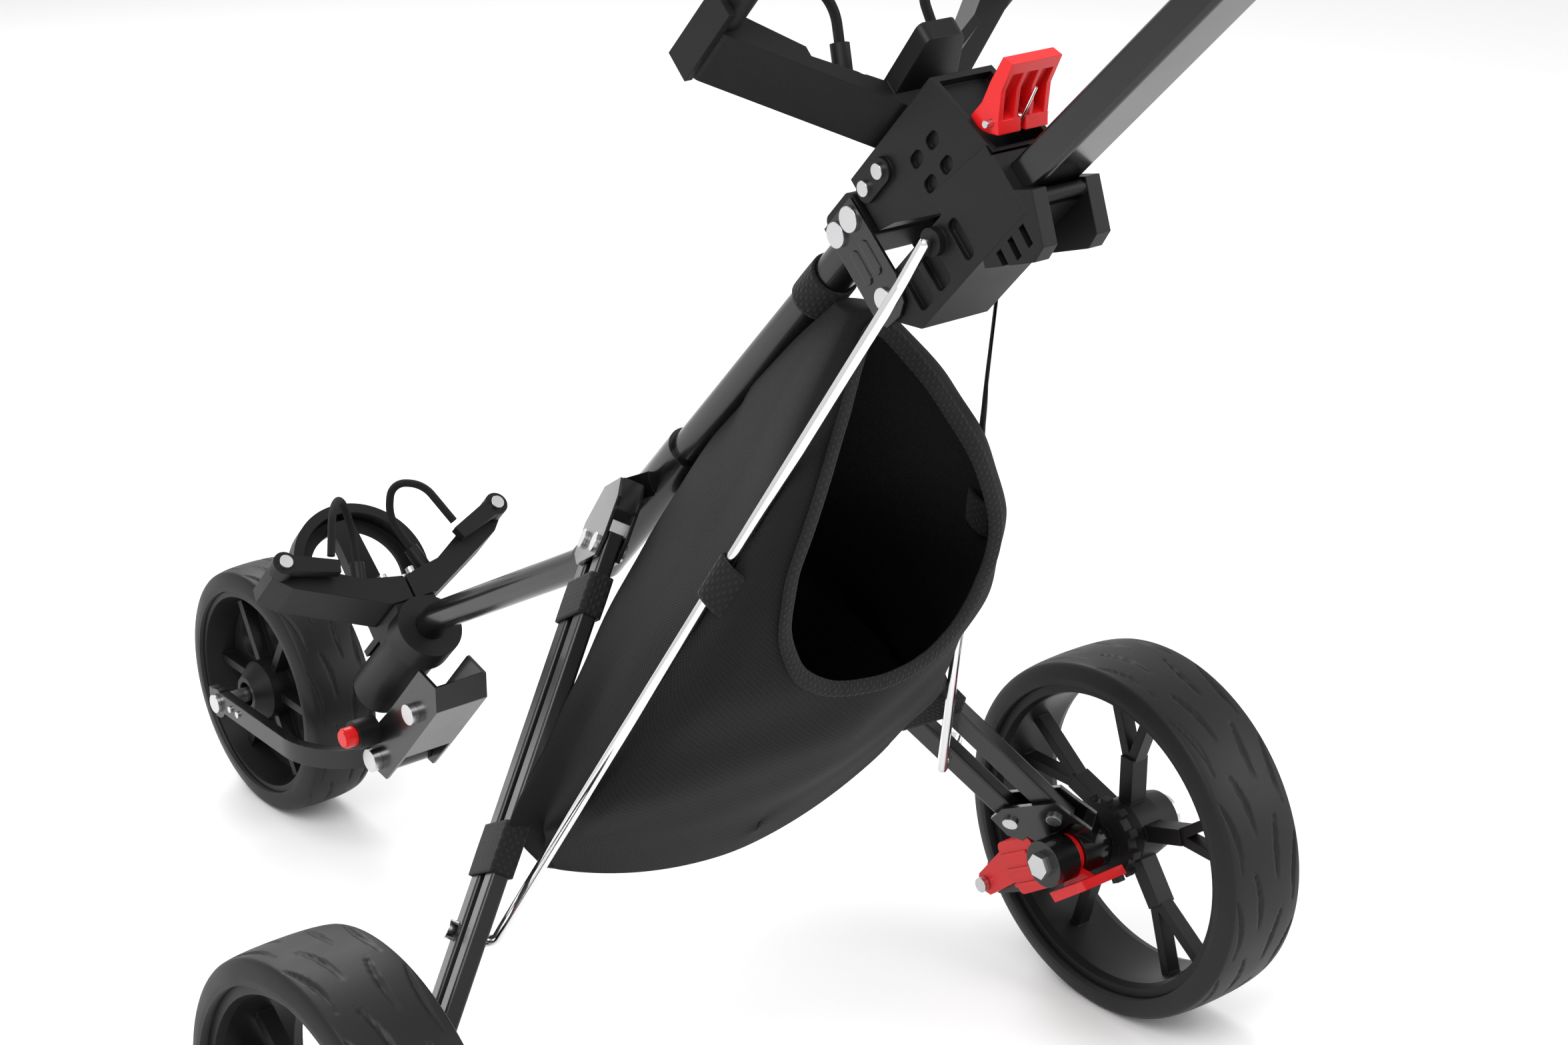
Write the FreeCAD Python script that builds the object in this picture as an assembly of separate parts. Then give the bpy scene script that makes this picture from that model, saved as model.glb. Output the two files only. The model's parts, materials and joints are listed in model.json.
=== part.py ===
import FreeCAD
import Part
import math
import os

# Three-wheel folding golf push cart with a storage pouch, modelled piece by piece.
# Millimetres, +X to the cart's right, +Y forward, +Z up, wheels standing on z = 0.

V = FreeCAD.Vector

# Wheels
rear_radius = 133.5
rear_width = 72.0
rear_rim_radius = 116.0
rear_half_track = 321.0
front_radius = 101.5
front_width = 60.0
front_rim_radius = 84.0
wheelbase = 643.5
axle_radius = 6.0
bore_clearance = 0.06
spoke_count = 5

# Main tube: a line in the middle plane, rising to the rear from tube_foot
tube_tilt = 47.0
tube_foot_y = 119.0
tube_foot_z = 440.0
main_radius = 12.5
main_wall = 1.5
main_top = 418.0
main_bottom = -82.0
front_tube_start = -98.0
front_tube_radius = 11.0
front_tube_wall = 1.5
front_tube_tilt = 29.4
front_tube_bend = 46.0
front_tube_straight = 246.0
lower_tilt = 46.0
lower_leg_length = 108.0

# Handle hinge and its folding arm, given as distance up the tube and behind it
hinge_up = 312.0
hinge_back = 48.0
crank = 58.0
arm_half_width = 24.0
arm_top = 440.0
arm_bottom = 298.0
arm_front = 40.0
arm_depth = 36.0
plate_thickness = 2.2
housing_bottom = 331.0
housing_top = 430.0
housing_half_width = 22.0
handle_width = 33.0
handle_depth = 20.0
handle_wall = 1.6
handle_length = 465.0
handle_tilt = 2.6
grip_length = 115.0
grip_width = 44.0
grip_depth = 31.0

# Rear legs: two parallel bars a side, in a plane that holds the main tube's direction
leg_pivot = (-53.0, 103.5, 416.0)
leg_direction = (-0.6049, -0.2840, -0.7439)
bar_width = 18.0
bar_thickness = 11.0
bar_wall = 1.4
bar_length = 335.0
bar_tail = 8.0
front_bar_shift = (-8.0, 34.0)
pin_radius = 3.0
cheek_thickness = 2.5
cheek_gap = 0.4
rod_radius = 3.5
rod_foot = 254.0
boss_radius = 11.0
brake_spot = (80.0, 76.0)
rod_side = 33.0

# Fork and front bracket
fork_pivot_y = 462.0
fork_pivot_z = 113.0
fork_half_gap = 52.0
fork_bar_height = 16.0
fork_bar_thickness = 8.0
sleeve_radius = 21.0
sleeve_length = 112.0
bracket_half_width = 22.0
bracket_sheet = 2.5
jaw_reach = 91.0
jaw_rise = 70.0
rest_radius = 46.0
cradle_reach = 112.0
cradle_rise = 100.0
cord_radius = 3.0

running = 0.05
gap = 0.4


def unit(vector):
    return vector / vector.Length


tilt = math.radians(tube_tilt)
UP = V(0, -math.cos(tilt), math.sin(tilt))
BACK = V(0, -math.sin(tilt), -math.cos(tilt))
LEG_D = unit(V(*leg_direction))
LEG_N = unit(LEG_D.cross(-UP))
LEG_E = LEG_N.cross(LEG_D)
low = math.radians(lower_tilt)
LOW = V(0, math.cos(low), -math.sin(low))
RISE = V(0, math.sin(low), math.cos(low))


def tube_point(up, back, x=0.0):
    """A point given by its distance up the main tube, behind it and sideways."""
    return V(x, tube_foot_y, tube_foot_z) + UP * up + BACK * back


def leg_point(down, forward=0.0, across=0.0):
    """A point of the left leg: down the bars, forward in their plane, across it."""
    return V(*leg_pivot) + LEG_D * down + LEG_E * forward + LEG_N * across


def mirrored(shape):
    return shape.mirror(V(0, 0, 0), V(1, 0, 0))


def both(shape):
    return Part.makeCompound([shape, mirrored(shape)])


def fuse(shapes):
    return shapes[0].multiFuse(shapes[1:]).removeSplitter()


def rod(start, end, radius):
    return Part.makeCylinder(radius, (end - start).Length, start, end - start)


def ring(start, end, outer, inner):
    return rod(start, end, outer).cut(rod(start, end, inner))


def x_rod(y, z, x0, x1, radius):
    return rod(V(x0, y, z), V(x1, y, z), radius)


def prism(points, depth):
    """A flat outline through the points, pushed out by the depth vector."""
    return Part.Face(Part.makePolygon(points + points[:1])).extrude(depth)


def tube_plate(outline, x0, x1):
    """A plate standing across X, its outline in (up, back) pairs."""
    return prism([tube_point(up, back, x0) for up, back in outline], V(x1 - x0, 0, 0))


def leg_plate(outline, n0, n1):
    """A plate in the left leg's plane, its outline in (down, forward) pairs."""
    return prism([leg_point(down, forward, n0) for down, forward in outline], LEG_N * (n1 - n0))


def side_plate(outline, x0, x1):
    """A plate standing across X, its outline in (y, z) pairs."""
    return prism([V(x0, y, z) for y, z in outline], V(x1 - x0, 0, 0))


def rounded(shape, radius, direction):
    """Fillet the straight edges that run along the direction."""
    edges = []
    for edge in shape.Edges:
        if edge.Curve.TypeId == "Part::GeomLine":
            if abs(edge.tangentAt(edge.FirstParameter).dot(unit(direction))) > 0.999:
                edges.append(edge)
    return shape.makeFillet(radius, edges)


def route(points, bend):
    """A wire of straight runs joined by tangent arcs of one radius."""
    edges = []
    start = points[0]
    for before, corner, after in zip(points, points[1:], points[2:]):
        into = unit(corner - before)
        out = unit(after - corner)
        half_turn = into.getAngle(out) / 2
        reach = bend * math.tan(half_turn)
        first = corner - into * reach
        last = corner + out * reach
        middle = corner + unit(out - into) * (bend / math.cos(half_turn) - bend)
        edges.append(Part.makeLine(start, first))
        edges.append(Part.Arc(first, middle, last).toShape())
        start = last
    edges.append(Part.makeLine(start, points[-1]))
    return Part.Wire(edges)


def piped(wire, points, radius):
    """A round bar along the wire, which starts at the first of the points."""
    circle = Part.Wire(Part.makeCircle(radius, points[0], points[1] - points[0]))
    return wire.makePipeShell([circle], True, False)


def bent_bar(points, bend, radius):
    return piped(route(points, bend), points, radius)


def cord_route(points):
    """The cord's wire: each corner's arc is as large as its shorter run allows."""
    edges = []
    start = points[0]
    for before, corner, after in zip(points, points[1:], points[2:]):
        into = unit(corner - before)
        out = unit(after - corner)
        half_turn = into.getAngle(out) / 2
        reach = 0.45 * min((corner - before).Length, (after - corner).Length)
        bend = reach / math.tan(half_turn)
        first = corner - into * reach
        last = corner + out * reach
        middle = corner + unit(out - into) * (bend / math.cos(half_turn) - bend)
        edges.append(Part.makeLine(start, first))
        edges.append(Part.Arc(first, middle, last).toShape())
        start = last
    edges.append(Part.makeLine(start, points[-1]))
    return Part.Wire(edges)


def revolved(outline):
    """A body of revolution about X, its outline in (x, radius) pairs."""
    face = Part.Face(Part.makePolygon([V(x, 0, r) for x, r in outline + outline[:1]]))
    return face.revolve(V(0, 0, 0), V(1, 0, 0), 360)


def turned(shape, angle):
    copy = shape.copy()
    copy.rotate(V(0, 0, 0), V(1, 0, 0), angle)
    return copy


def moved(shape, vector):
    copy = shape.copy()
    copy.translate(vector)
    return copy


def domed_tyre(radius, width, inner_radius, crown):
    """A tyre ring with a gently domed tread and round shoulders."""
    half = width / 2
    shoulder = half - 5.0
    edge_drop = crown + 8.0
    outer = [
        Part.makeLine(V(-half, 0, inner_radius), V(-half, 0, radius - edge_drop)),
        Part.Arc(
            V(-half, 0, radius - edge_drop),
            V(-half + 1.6, 0, radius - crown - 2.6),
            V(-shoulder, 0, radius - crown),
        ).toShape(),
        Part.Arc(V(-shoulder, 0, radius - crown), V(0, 0, radius), V(shoulder, 0, radius - crown)).toShape(),
        Part.Arc(
            V(shoulder, 0, radius - crown),
            V(half - 1.6, 0, radius - crown - 2.6),
            V(half, 0, radius - edge_drop),
        ).toShape(),
        Part.makeLine(V(half, 0, radius - edge_drop), V(half, 0, inner_radius)),
        Part.makeLine(V(half, 0, inner_radius), V(-half, 0, inner_radius)),
    ]
    return Part.Face(Part.Wire(outer)).revolve(V(0, 0, 0), V(1, 0, 0), 360)


def hexagon(y, z, x0, x1, radius):
    """A six-sided nut across X."""
    corners = [math.radians(60 * i) for i in range(6)]
    return side_plate([(y + radius * math.cos(a), z + radius * math.sin(a)) for a in corners], x0, x1)


def rear_tyre():
    return domed_tyre(rear_radius, rear_width, rear_rim_radius + gap / 4, 3.0)


def rear_rim():
    """Rim barrel, five forked spokes, hub and the brake's toothed ring."""
    r = rear_rim_radius
    half = rear_width / 2 - 5.5
    barrel = revolved([(-half, r - 7), (-half, r), (half, r), (half, r - 7), (half - 6, r - 9), (6 - half, r - 9)])
    hub_half = 28.0
    hub = revolved([(-hub_half, 10), (-hub_half, 20), (-10, 24), (10, 24), (hub_half, 20), (hub_half, 10)])
    stem = Part.makeBox(15, 12, 40, V(-7.5, -6, 18))
    arm = Part.makeBox(11, 7.5, r - 54, V(-5.5, -3.75, 48))
    left_arm = arm.copy()
    left_arm.rotate(V(0, 0, 50), V(1, 0, 0), 19)
    right_arm = arm.copy()
    right_arm.rotate(V(0, 0, 50), V(1, 0, 0), -19)
    spoke = fuse([stem, left_arm, right_arm])
    spokes = [turned(spoke, 360 / spoke_count * i) for i in range(spoke_count)]
    teeth = [turned(Part.makeBox(7, 6, 8, V(22, -3, 24)), 30 * i) for i in range(12)]
    plate = revolved([(22, 18), (22, 28), (29, 28), (29, 18)])
    shape = fuse([barrel, hub, plate] + spokes + teeth)
    return shape.cut(rod(V(-40, 0, 0), V(40, 0, 0), axle_radius + bore_clearance))


def rear_axle():
    """Axle pin of the left wheel with its outer cap, running in the hub."""
    hub_out = -rear_half_track - 28.0
    pin = x_rod(0, rear_radius, hub_out - 6, -230, axle_radius)
    cap = x_rod(0, rear_radius, hub_out - 7, hub_out - gap, 15)
    nut = hexagon(0, rear_radius, -236, -230, 9.5)
    return fuse([pin, cap, nut])


def bar(down, forward):
    """One hollow leg bar with round ends, bored for its two pins."""
    tail = bar_tail
    start = leg_point(down - tail, forward - bar_width / 2, -bar_thickness / 2)
    length = bar_length + 2 * tail
    solid = prism([start, start + LEG_E * bar_width, start + LEG_E * bar_width + LEG_N * bar_thickness,
                   start + LEG_N * bar_thickness], LEG_D * length)
    solid = rounded(solid, 2.0, LEG_D)
    inset = (LEG_E + LEG_N) * bar_wall
    inner_width = bar_width - 2 * bar_wall
    inner_thick = bar_thickness - 2 * bar_wall
    corner = start + inset
    core = prism([corner, corner + LEG_E * inner_width, corner + LEG_E * inner_width + LEG_N * inner_thick,
                  corner + LEG_N * inner_thick], LEG_D * length)
    solid = solid.cut(core)
    for place in (down, down + bar_length):
        hole = leg_point(place, forward, -20)
        solid = solid.cut(rod(hole, hole + LEG_N * 40, pin_radius + running))
    return solid


def front_leg_bar():
    shape = bar(*front_bar_shift)
    foot = leg_point(rod_foot, front_bar_shift[1], -20)
    return shape.cut(rod(foot, foot + LEG_N * 40, rod_radius + running))


def cheek(outline, side):
    """A cheek beside the bars: side -1 is the outer one, +1 the inner one."""
    near = bar_thickness / 2 + cheek_gap
    far = near + cheek_thickness
    return leg_plate(outline, side * near, side * far)


def leg_bracket():
    """Sleeve joining the two tubes, with a forked pair of cheeks for each leg."""
    sleeve = rod(tube_point(48, 0), tube_point(front_tube_start - 2, 0), 15.5)
    start, bend, _ = front_tube_points()
    nose = rod(start, start + unit(bend - start) * 20, 13.5)
    outline = [(-44, -6), (-44, 30), (-22, 50), (0, 50), (9, 36), (9, -6), (-4, -12), (-30, -14)]
    near = bar_thickness / 2 + cheek_gap
    web = leg_plate([(-44, -8), (-44, 34), (-32, 38), (-27, 34), (-16, -8), (-22, -14)], -near - 1, near + 1)
    arm = prism([leg_point(-44, -8, -near), leg_point(-44, 34, -near), leg_point(-30, 34, -near),
                 leg_point(-24, -8, -near)], V(30, 0, 0))
    half = fuse([cheek(outline, -1), cheek(outline, 1), web, arm])
    shape = fuse([sleeve, nose, half, mirrored(half)])
    shape = shape.cut(rod(tube_point(70, 0), tube_point(main_bottom, 0), main_radius))
    return shape.cut(front_tube_solid(front_tube_radius))


def leg_pins(places):
    """Rivets across the cheeks, through bars and plates."""
    near = bar_thickness / 2 + cheek_gap + cheek_thickness
    pins = []
    for down, forward in places:
        shank = rod(leg_point(down, forward, -near), leg_point(down, forward, near), pin_radius)
        outer = rod(leg_point(down, forward, -near - 2.4), leg_point(down, forward, -near), 6.5)
        inner = rod(leg_point(down, forward, near), leg_point(down, forward, near + 2.4), 5.5)
        pins.append(fuse([shank, outer, inner]))
    return Part.makeCompound(pins)


def bored_for_pins(shape, places):
    for down, forward in places:
        hole = leg_point(down, forward, -20)
        shape = shape.cut(rod(hole, hole + LEG_N * 40, pin_radius))
    return shape


upper_pins = [(0.0, 0.0), front_bar_shift]
lower_pins = [(down + bar_length, forward) for down, forward in upper_pins]


def main_tube():
    outer = rod(tube_point(main_bottom, 0), tube_point(main_top, 0), main_radius)
    return outer.cut(rod(tube_point(main_bottom - 1, 0), tube_point(main_top + 1, 0), main_radius - main_wall))


def front_tube_points():
    slope = math.radians(front_tube_tilt)
    along = V(0, math.cos(slope), -math.sin(slope))
    start = tube_point(front_tube_start, 0)
    bend = start + along * front_tube_straight
    return [start, bend, bend + LOW * lower_leg_length]


def front_tube_solid(radius):
    return bent_bar(front_tube_points(), front_tube_bend, radius)


def front_tube():
    return front_tube_solid(front_tube_radius).cut(front_tube_solid(front_tube_radius - front_tube_wall))


def sleeve_point(along, rise, x=0.0):
    """A point given from the lower sleeve's top: down its axis, in front of it."""
    bend = front_tube_points()[1]
    return V(x, bend.y, bend.z) + LOW * (along + 16) + RISE * rise


def hinge_housing():
    """Plastic cap on the main tube's top with a channel for the release lever."""
    outline = [(housing_bottom, -18), (housing_top - 4, -19), (housing_top + 10, 38.5), (382, 38.5), (345, 20),
               (housing_bottom, 16)]
    body = tube_plate(outline, -housing_half_width, housing_half_width)
    body = body.cut(rod(tube_point(300, 0), tube_point(main_top + 1, 0), main_radius))
    channel = tube_plate([(421, -15), (500, -15), (500, 36), (421, 36)], -18.5, 18.5)
    body = body.cut(channel)
    for up, back in ((404, 6), (404, 22), (386, 6), (386, 22)):
        slot = tube_plate([(up - 6, back - 4), (up + 6, back - 4), (up + 6, back + 4), (up - 6, back + 4)], -40, -19)
        slot = rounded(slot, 3.9, V(1, 0, 0))
        body = body.cut(slot).cut(mirrored(slot))
    boss = rounded(tube_plate([(333, -13), (366, -13), (366, 2), (333, 2)], -25, -housing_half_width), 7, V(1, 0, 0))
    body = fuse([body, boss, mirrored(boss)])
    for up in (341, 358):
        spot = tube_point(up, -6)
        body = body.cut(x_rod(spot.y, spot.z, -30, 30, 2.2))
    pin = tube_point(444, 24)
    return body.cut(x_rod(pin.y, pin.z, -30, 30, 2.0))


def housing_rivets():
    """Two rivets that hold the housing, passing in front of the tube's middle."""
    pieces = []
    for up in (341, 358):
        spot = tube_point(up, -6)
        pieces.append(fuse([x_rod(spot.y, spot.z, -25, -13, 2.2), x_rod(spot.y, spot.z, -27, -25, 4.5)]))
    return Part.makeCompound(pieces + [mirrored(piece) for piece in pieces])


def hinge_clamp():
    body = rounded(tube_plate([(297, -14), (328, -14), (328, 15), (297, 15)], -arm_half_width, arm_half_width), 5,
                   V(1, 0, 0))
    body = body.cut(rod(tube_point(280, 0), tube_point(340, 0), main_radius))
    for up in (304, 320):
        spot = tube_point(up, 0)
        body = body.cut(x_rod(spot.y, spot.z, -40, 40, 3.0))
    return body


def hinge_plates():
    """The two stamped plates that carry the handle's hinge bolt."""
    x0 = arm_half_width + gap
    x1 = x0 + plate_thickness
    outline = [(296, -9), (328, -9), (330, 44), (325, 58), (316, 62), (302, 61), (297, 54)]
    plate = tube_plate(outline, -x1, -x0)
    rib = rounded(tube_plate([(305, 14), (311, 14), (311, 36), (305, 36)], -x1 - 0.9, -x1), 2.8, V(1, 0, 0))
    plate = fuse([plate, rib, moved(rib, UP * 11)])
    for up, back, radius in ((304, 0, 3.0), (320, 0, 3.0), (hinge_up, hinge_back, 4.0)):
        spot = tube_point(up, back)
        plate = plate.cut(x_rod(spot.y, spot.z, -40, 0, radius))
    return both(plate)


def hinge_plate_rivets():
    """Rivets through clamp and plates; each stops at the tube's wall."""
    outer = arm_half_width + gap + plate_thickness
    pieces = []
    for up in (304, 320):
        spot = tube_point(up, 0)
        shank = x_rod(spot.y, spot.z, -outer, -main_radius - 0.2, 3.0)
        pieces.append(fuse([shank, x_rod(spot.y, spot.z, -outer - 2.2, -outer, 7.5)]))
    return Part.makeCompound(pieces + [mirrored(piece) for piece in pieces])


def hinge_bolt():
    outer = arm_half_width + gap + plate_thickness
    spot = tube_point(hinge_up, hinge_back)
    return fuse([
        x_rod(spot.y, spot.z, -outer, outer, 4.0),
        x_rod(spot.y, spot.z, -outer - 2.0, -outer, 6.5),
        x_rod(spot.y, spot.z, outer, outer + 2.0, 6.5),
    ])


def hinge_arm():
    """The folding arm behind the housing: it carries the handle and the rods."""
    body = hinge_arm_block()
    pocket = tube_plate([(arm_bottom - 10, arm_front - 10), (arm_bottom + 58, arm_front - 10),
                         (arm_bottom + 58, arm_front + 26), (arm_bottom - 10, arm_front + 26)], -12, 12)
    body = body.cut(pocket)
    band = tube_plate([(384, 27), (438, 33), (438, arm_front + 1), (384, arm_front + 1)],
                      -arm_half_width, -housing_half_width - gap)
    ear_spot = tube_point(hinge_up + crank, hinge_back)
    ear = x_rod(ear_spot.y, ear_spot.z, -rod_side + rod_radius + gap, -arm_half_width + 1, 8)
    shape = fuse([body, band, mirrored(band), ear, mirrored(ear)])
    for up0, up1 in ((331, 346), (351, 366), (382, 392)):
        recess = tube_plate([(up0, arm_front + 6), (up1, arm_front + 6), (up1, arm_front + 30), (up0, arm_front + 30)],
                            -arm_half_width - 1, -arm_half_width + 3.5)
        recess = rounded(recess, 4, V(1, 0, 0))
        shape = shape.cut(recess).cut(mirrored(recess))
    spot = tube_point(hinge_up, hinge_back)
    shape = shape.cut(x_rod(spot.y, spot.z, -60, 60, 4.0 + running))
    return shape.cut(handle_outer())


def handle_axes():
    lean = math.radians(handle_tilt)
    along = UP * math.cos(lean) + BACK * math.sin(lean)
    depth = BACK * math.cos(lean) - UP * math.sin(lean)
    return along, depth


def handle_box(width, depth_size, start, length):
    """A box along the handle, centred on its line."""
    along, depth = handle_axes()
    corner = tube_point(400, 55) + along * start - depth * (depth_size / 2) - V(width / 2, 0, 0)
    points = [corner, corner + V(width, 0, 0), corner + V(width, 0, 0) + depth * depth_size,
              corner + depth * depth_size]
    return prism(points, along * length), along


def handle_outer():
    solid, along = handle_box(handle_width, handle_depth, 0, handle_length)
    return rounded(solid, 3.0, along)


def handle_tube():
    inner, _ = handle_box(handle_width - 2 * handle_wall, handle_depth - 2 * handle_wall, -1, handle_length + 2)
    return handle_outer().cut(inner)


def handle_head():
    """End plug of the handle tube with its closing cap."""
    plug, along = handle_box(handle_width - 2 * handle_wall, handle_depth - 2 * handle_wall, handle_length - 24, 24)
    cap, _ = handle_box(grip_width - 4, grip_depth - 4, handle_length, 7)
    return fuse([plug, rounded(cap, 11.0, along)])


def handle_grip():
    """Moulded grip on the handle's last stretch."""
    grip, along = handle_box(grip_width, grip_depth, handle_length - grip_length, grip_length)
    return rounded(grip, 12.0, along).cut(handle_outer())


def side_pads():
    """The two cheeks behind the arm, the left one slotted, and the bar between them."""
    outline = [(398, 66), (416, 62), (440, 62), (452, 70), (438, 97), (427, 99), (392, 80)]
    pad = tube_plate(outline, -arm_half_width, -14).cut(hinge_arm_block())
    slotted = pad
    for shift in (0, 12, 24):
        slot = tube_plate([(405 + shift, 79), (410 + shift, 79), (409 + shift, 91), (404 + shift, 91)], -30, -18)
        slotted = slotted.cut(slot)
    bar_spot = tube_point(446, 72)
    link = x_rod(bar_spot.y, bar_spot.z, -16, 16, 4)
    return fuse([slotted, mirrored(pad), link]).cut(handle_outer())


def arm_outline():
    """Side view of the folding arm, in tube coordinates."""
    return [(arm_bottom + 4, arm_front), (arm_top, arm_front), (arm_top, arm_front + arm_depth),
            (arm_bottom + 26, arm_front + arm_depth), (arm_bottom, arm_front + 12)]


def hinge_arm_block():
    return tube_plate(arm_outline(), -arm_half_width, arm_half_width)


def release_lever():
    """Red thumb lever: a ribbed paddle turning on a pin in the housing's top."""
    side = [(438, 26), (444, 32), (450, 26), (462, 17), (479, 12), (476, 5), (460, 8), (446, 12), (434, 12),
            (434, 20)]
    paddle = tube_plate(side, -17.5, 17.5)
    for x0 in (-14.5, -4.0, 6.5):
        cut = tube_plate([(447, 14), (470, 9), (474, 13), (460, 20), (450, 28)], x0, x0 + 8)
        paddle = paddle.cut(moved(cut, BACK * 3))
    pocket = tube_plate([(434, 16), (458, 16), (458, 36), (434, 36)], -1.8, 1.8)
    spot = tube_point(444, 24)
    return paddle.cut(pocket).cut(x_rod(spot.y, spot.z, -30, 30, 2.0 + running))


def lever_pin():
    spot = tube_point(444, 24)
    return x_rod(spot.y, spot.z, -housing_half_width, housing_half_width, 2.0)


def lever_spring():
    """Hairpin spring: two coils on the pin and a leg up the paddle."""
    spot = tube_point(444, 24)
    coil = ring(V(-1.2, spot.y, spot.z), V(1.2, spot.y, spot.z), 4.2, 2.2)
    leg = rod(tube_point(446, 27.2, 0), tube_point(468, 21.6, 0), 0.9)
    return fuse([coil, leg])


def cradle_section(reach, rise, floor, thick):
    """Half of a V section, in (x, height) pairs, from the middle to the tip."""
    return [(0, floor), (16, floor), (reach - 8, rise - thick), (reach, rise - thick + 10), (reach, rise + 4),
            (reach - 12, rise + 4), (34, floor + thick + 8), (0, floor + thick)]


def v_block(section, origin, rise, along, length):
    """A V-shaped saddle with softened edges, mirrored about its middle."""
    half = [(x, height) for x, height in section if x > 0]
    full = half + [(0, section[-1][1])] + [(-x, height) for x, height in reversed(half)]
    points = [origin + V(x, 0, 0) + rise * height for x, height in full]
    return rounded(prism(points, along * length), 4.5, along)


def bag_cradle():
    """Upper saddle that the bag leans in, in front of the housing."""
    section = cradle_section(cradle_reach, cradle_rise, 20, 17)
    block = v_block(section, tube_point(356, 0), -BACK, UP, 40)
    inner = [(20, 37), (60, 62), (60, 90), (0, 90), (0, 37)]
    recess = prism([tube_point(364, 0) - V(x, 0, 0) - BACK * height for x, height in inner], UP * 60)
    tongue = prism([tube_point(380, -36, -26), tube_point(380, -36, 26), tube_point(430, -50, 13),
                    tube_point(430, -50, -13)], BACK * 11)
    tongue = rounded(tongue, 5, BACK)
    shape = fuse([block.cut(recess).cut(mirrored(recess)), tongue])
    lips = prism([tube_point(356, -cradle_rise - 3, -cradle_reach), tube_point(356, -cradle_rise + 16, -cradle_reach),
                  tube_point(356, -cradle_rise + 16, -cradle_reach + 5),
                  tube_point(356, -cradle_rise - 3, -cradle_reach + 5)], UP * 58)
    return fuse([shape, lips, mirrored(lips)])


def cradle_rollers():
    """Rubber rollers on the saddle's two ends."""
    side = cradle_reach - 14
    back = 6 - cradle_rise
    return both(rod(tube_point(396, back, -side), tube_point(424, back, -side), 8))


def lower_sleeve():
    """Plastic sleeve on the front tube's lower end, bearing jaws and bracket."""
    body = rod(sleeve_point(0, 0), sleeve_point(sleeve_length, 0), sleeve_radius)
    collar = rod(sleeve_point(0, 0), sleeve_point(24, 0), sleeve_radius + 4)
    pad = prism([sleeve_point(4, 10, -17), sleeve_point(4, 25, -17), sleeve_point(4, 25, 17), sleeve_point(4, 10, 17)],
                LOW * 46)
    shape = fuse([body, collar, pad])
    return shape.cut(front_tube_solid(front_tube_radius))


def bag_jaws():
    """Two separate arms of the lower saddle."""
    section = [(1, 25), (20, 25), (jaw_reach - 4, jaw_rise - 12), (jaw_reach + 8, jaw_rise), (jaw_reach + 6, jaw_rise + 10),
               (jaw_reach - 10, jaw_rise + 8), (32, 50), (1, 44)]
    points = [sleeve_point(2, 0) - V(x, 0, 0) + RISE * height for x, height in section]
    arm = prism(points, LOW * 40)
    groove = prism([sleeve_point(14, 0) - V(x, 0, 0) + RISE * h for x, h in
                    ((26, 38), (jaw_reach - 12, jaw_rise - 2), (jaw_reach - 18, jaw_rise + 10), (26, 52))], LOW * 16)
    return both(arm.cut(groove)).cut(lever_screws()).cut(jaw_eyelets())


def jaw_eyelets():
    """Fasteners through the jaws' roots."""
    pieces = []
    for along in (12, 26):
        pieces.append(rod(sleeve_point(along, 43, -12), sleeve_point(along, 52, -12), 3.5))
    return both(Part.makeCompound(pieces))


def bag_base_rest():
    """Arched foot plate in front of the sleeve that carries the bag's base."""
    centre = sleeve_point(54, 78)
    shell = ring(centre, centre + LOW * 16, rest_radius + 8, rest_radius)
    web = ring(centre + LOW * 12, centre + LOW * 16, rest_radius + 1, rest_radius - 9)
    clip = prism([centre - RISE * 20 + V(x, 0, 0) - RISE * drop - LOW * 10 for x, drop in
                  ((-80, 60), (80, 60), (80, 0), (-80, 0))], LOW * 40)
    stem = prism([sleeve_point(54, rise, x) for x, rise in ((-12, 21.4), (12, 21.4), (9, 118), (-9, 118))], LOW * 12)
    foot = prism([sleeve_point(54, rise, x) for x, rise in ((-14, 18), (14, 18), (14, 23), (-14, 23))], LOW * 30)
    sleeve = rod(sleeve_point(-5, 0), sleeve_point(sleeve_length + 5, 0), sleeve_radius)
    return fuse([fuse([shell, web]).cut(clip), stem, foot.cut(sleeve)])


def lever_spot(side):
    return sleeve_point(-7, jaw_rise + 4, side * jaw_reach)


def cord_lever(side):
    """Cord lever on a jaw's tip: it turns on the screw and holds the cord's end."""
    pivot = lever_spot(side)
    inward = unit(V(-side * 40, 0, 0) - RISE * 14)
    across = inward.cross(LOW)
    points = [pivot + across * 7, pivot + inward * 42 + across * 5, pivot + inward * 42 - across * 5,
              pivot - across * 7]
    body = prism([point - LOW * 4 for point in points], LOW * 8)
    knuckle = rod(pivot - LOW * 4, pivot + LOW * 8.4, 9)
    screw_hole = rod(pivot - LOW * 20, pivot + LOW * 20, 2.0 + running)
    return fuse([body, knuckle]).cut(screw_hole)


def lever_screws():
    pieces = []
    for side in (-1, 1):
        pivot = lever_spot(side)
        shank = rod(pivot - LOW * 4.4, pivot + LOW * 14, 2.0)
        head = rod(pivot - LOW * 7, pivot - LOW * 4.4, 5.0)
        pieces.append(fuse([shank, head]))
    return Part.makeCompound(pieces)


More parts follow.
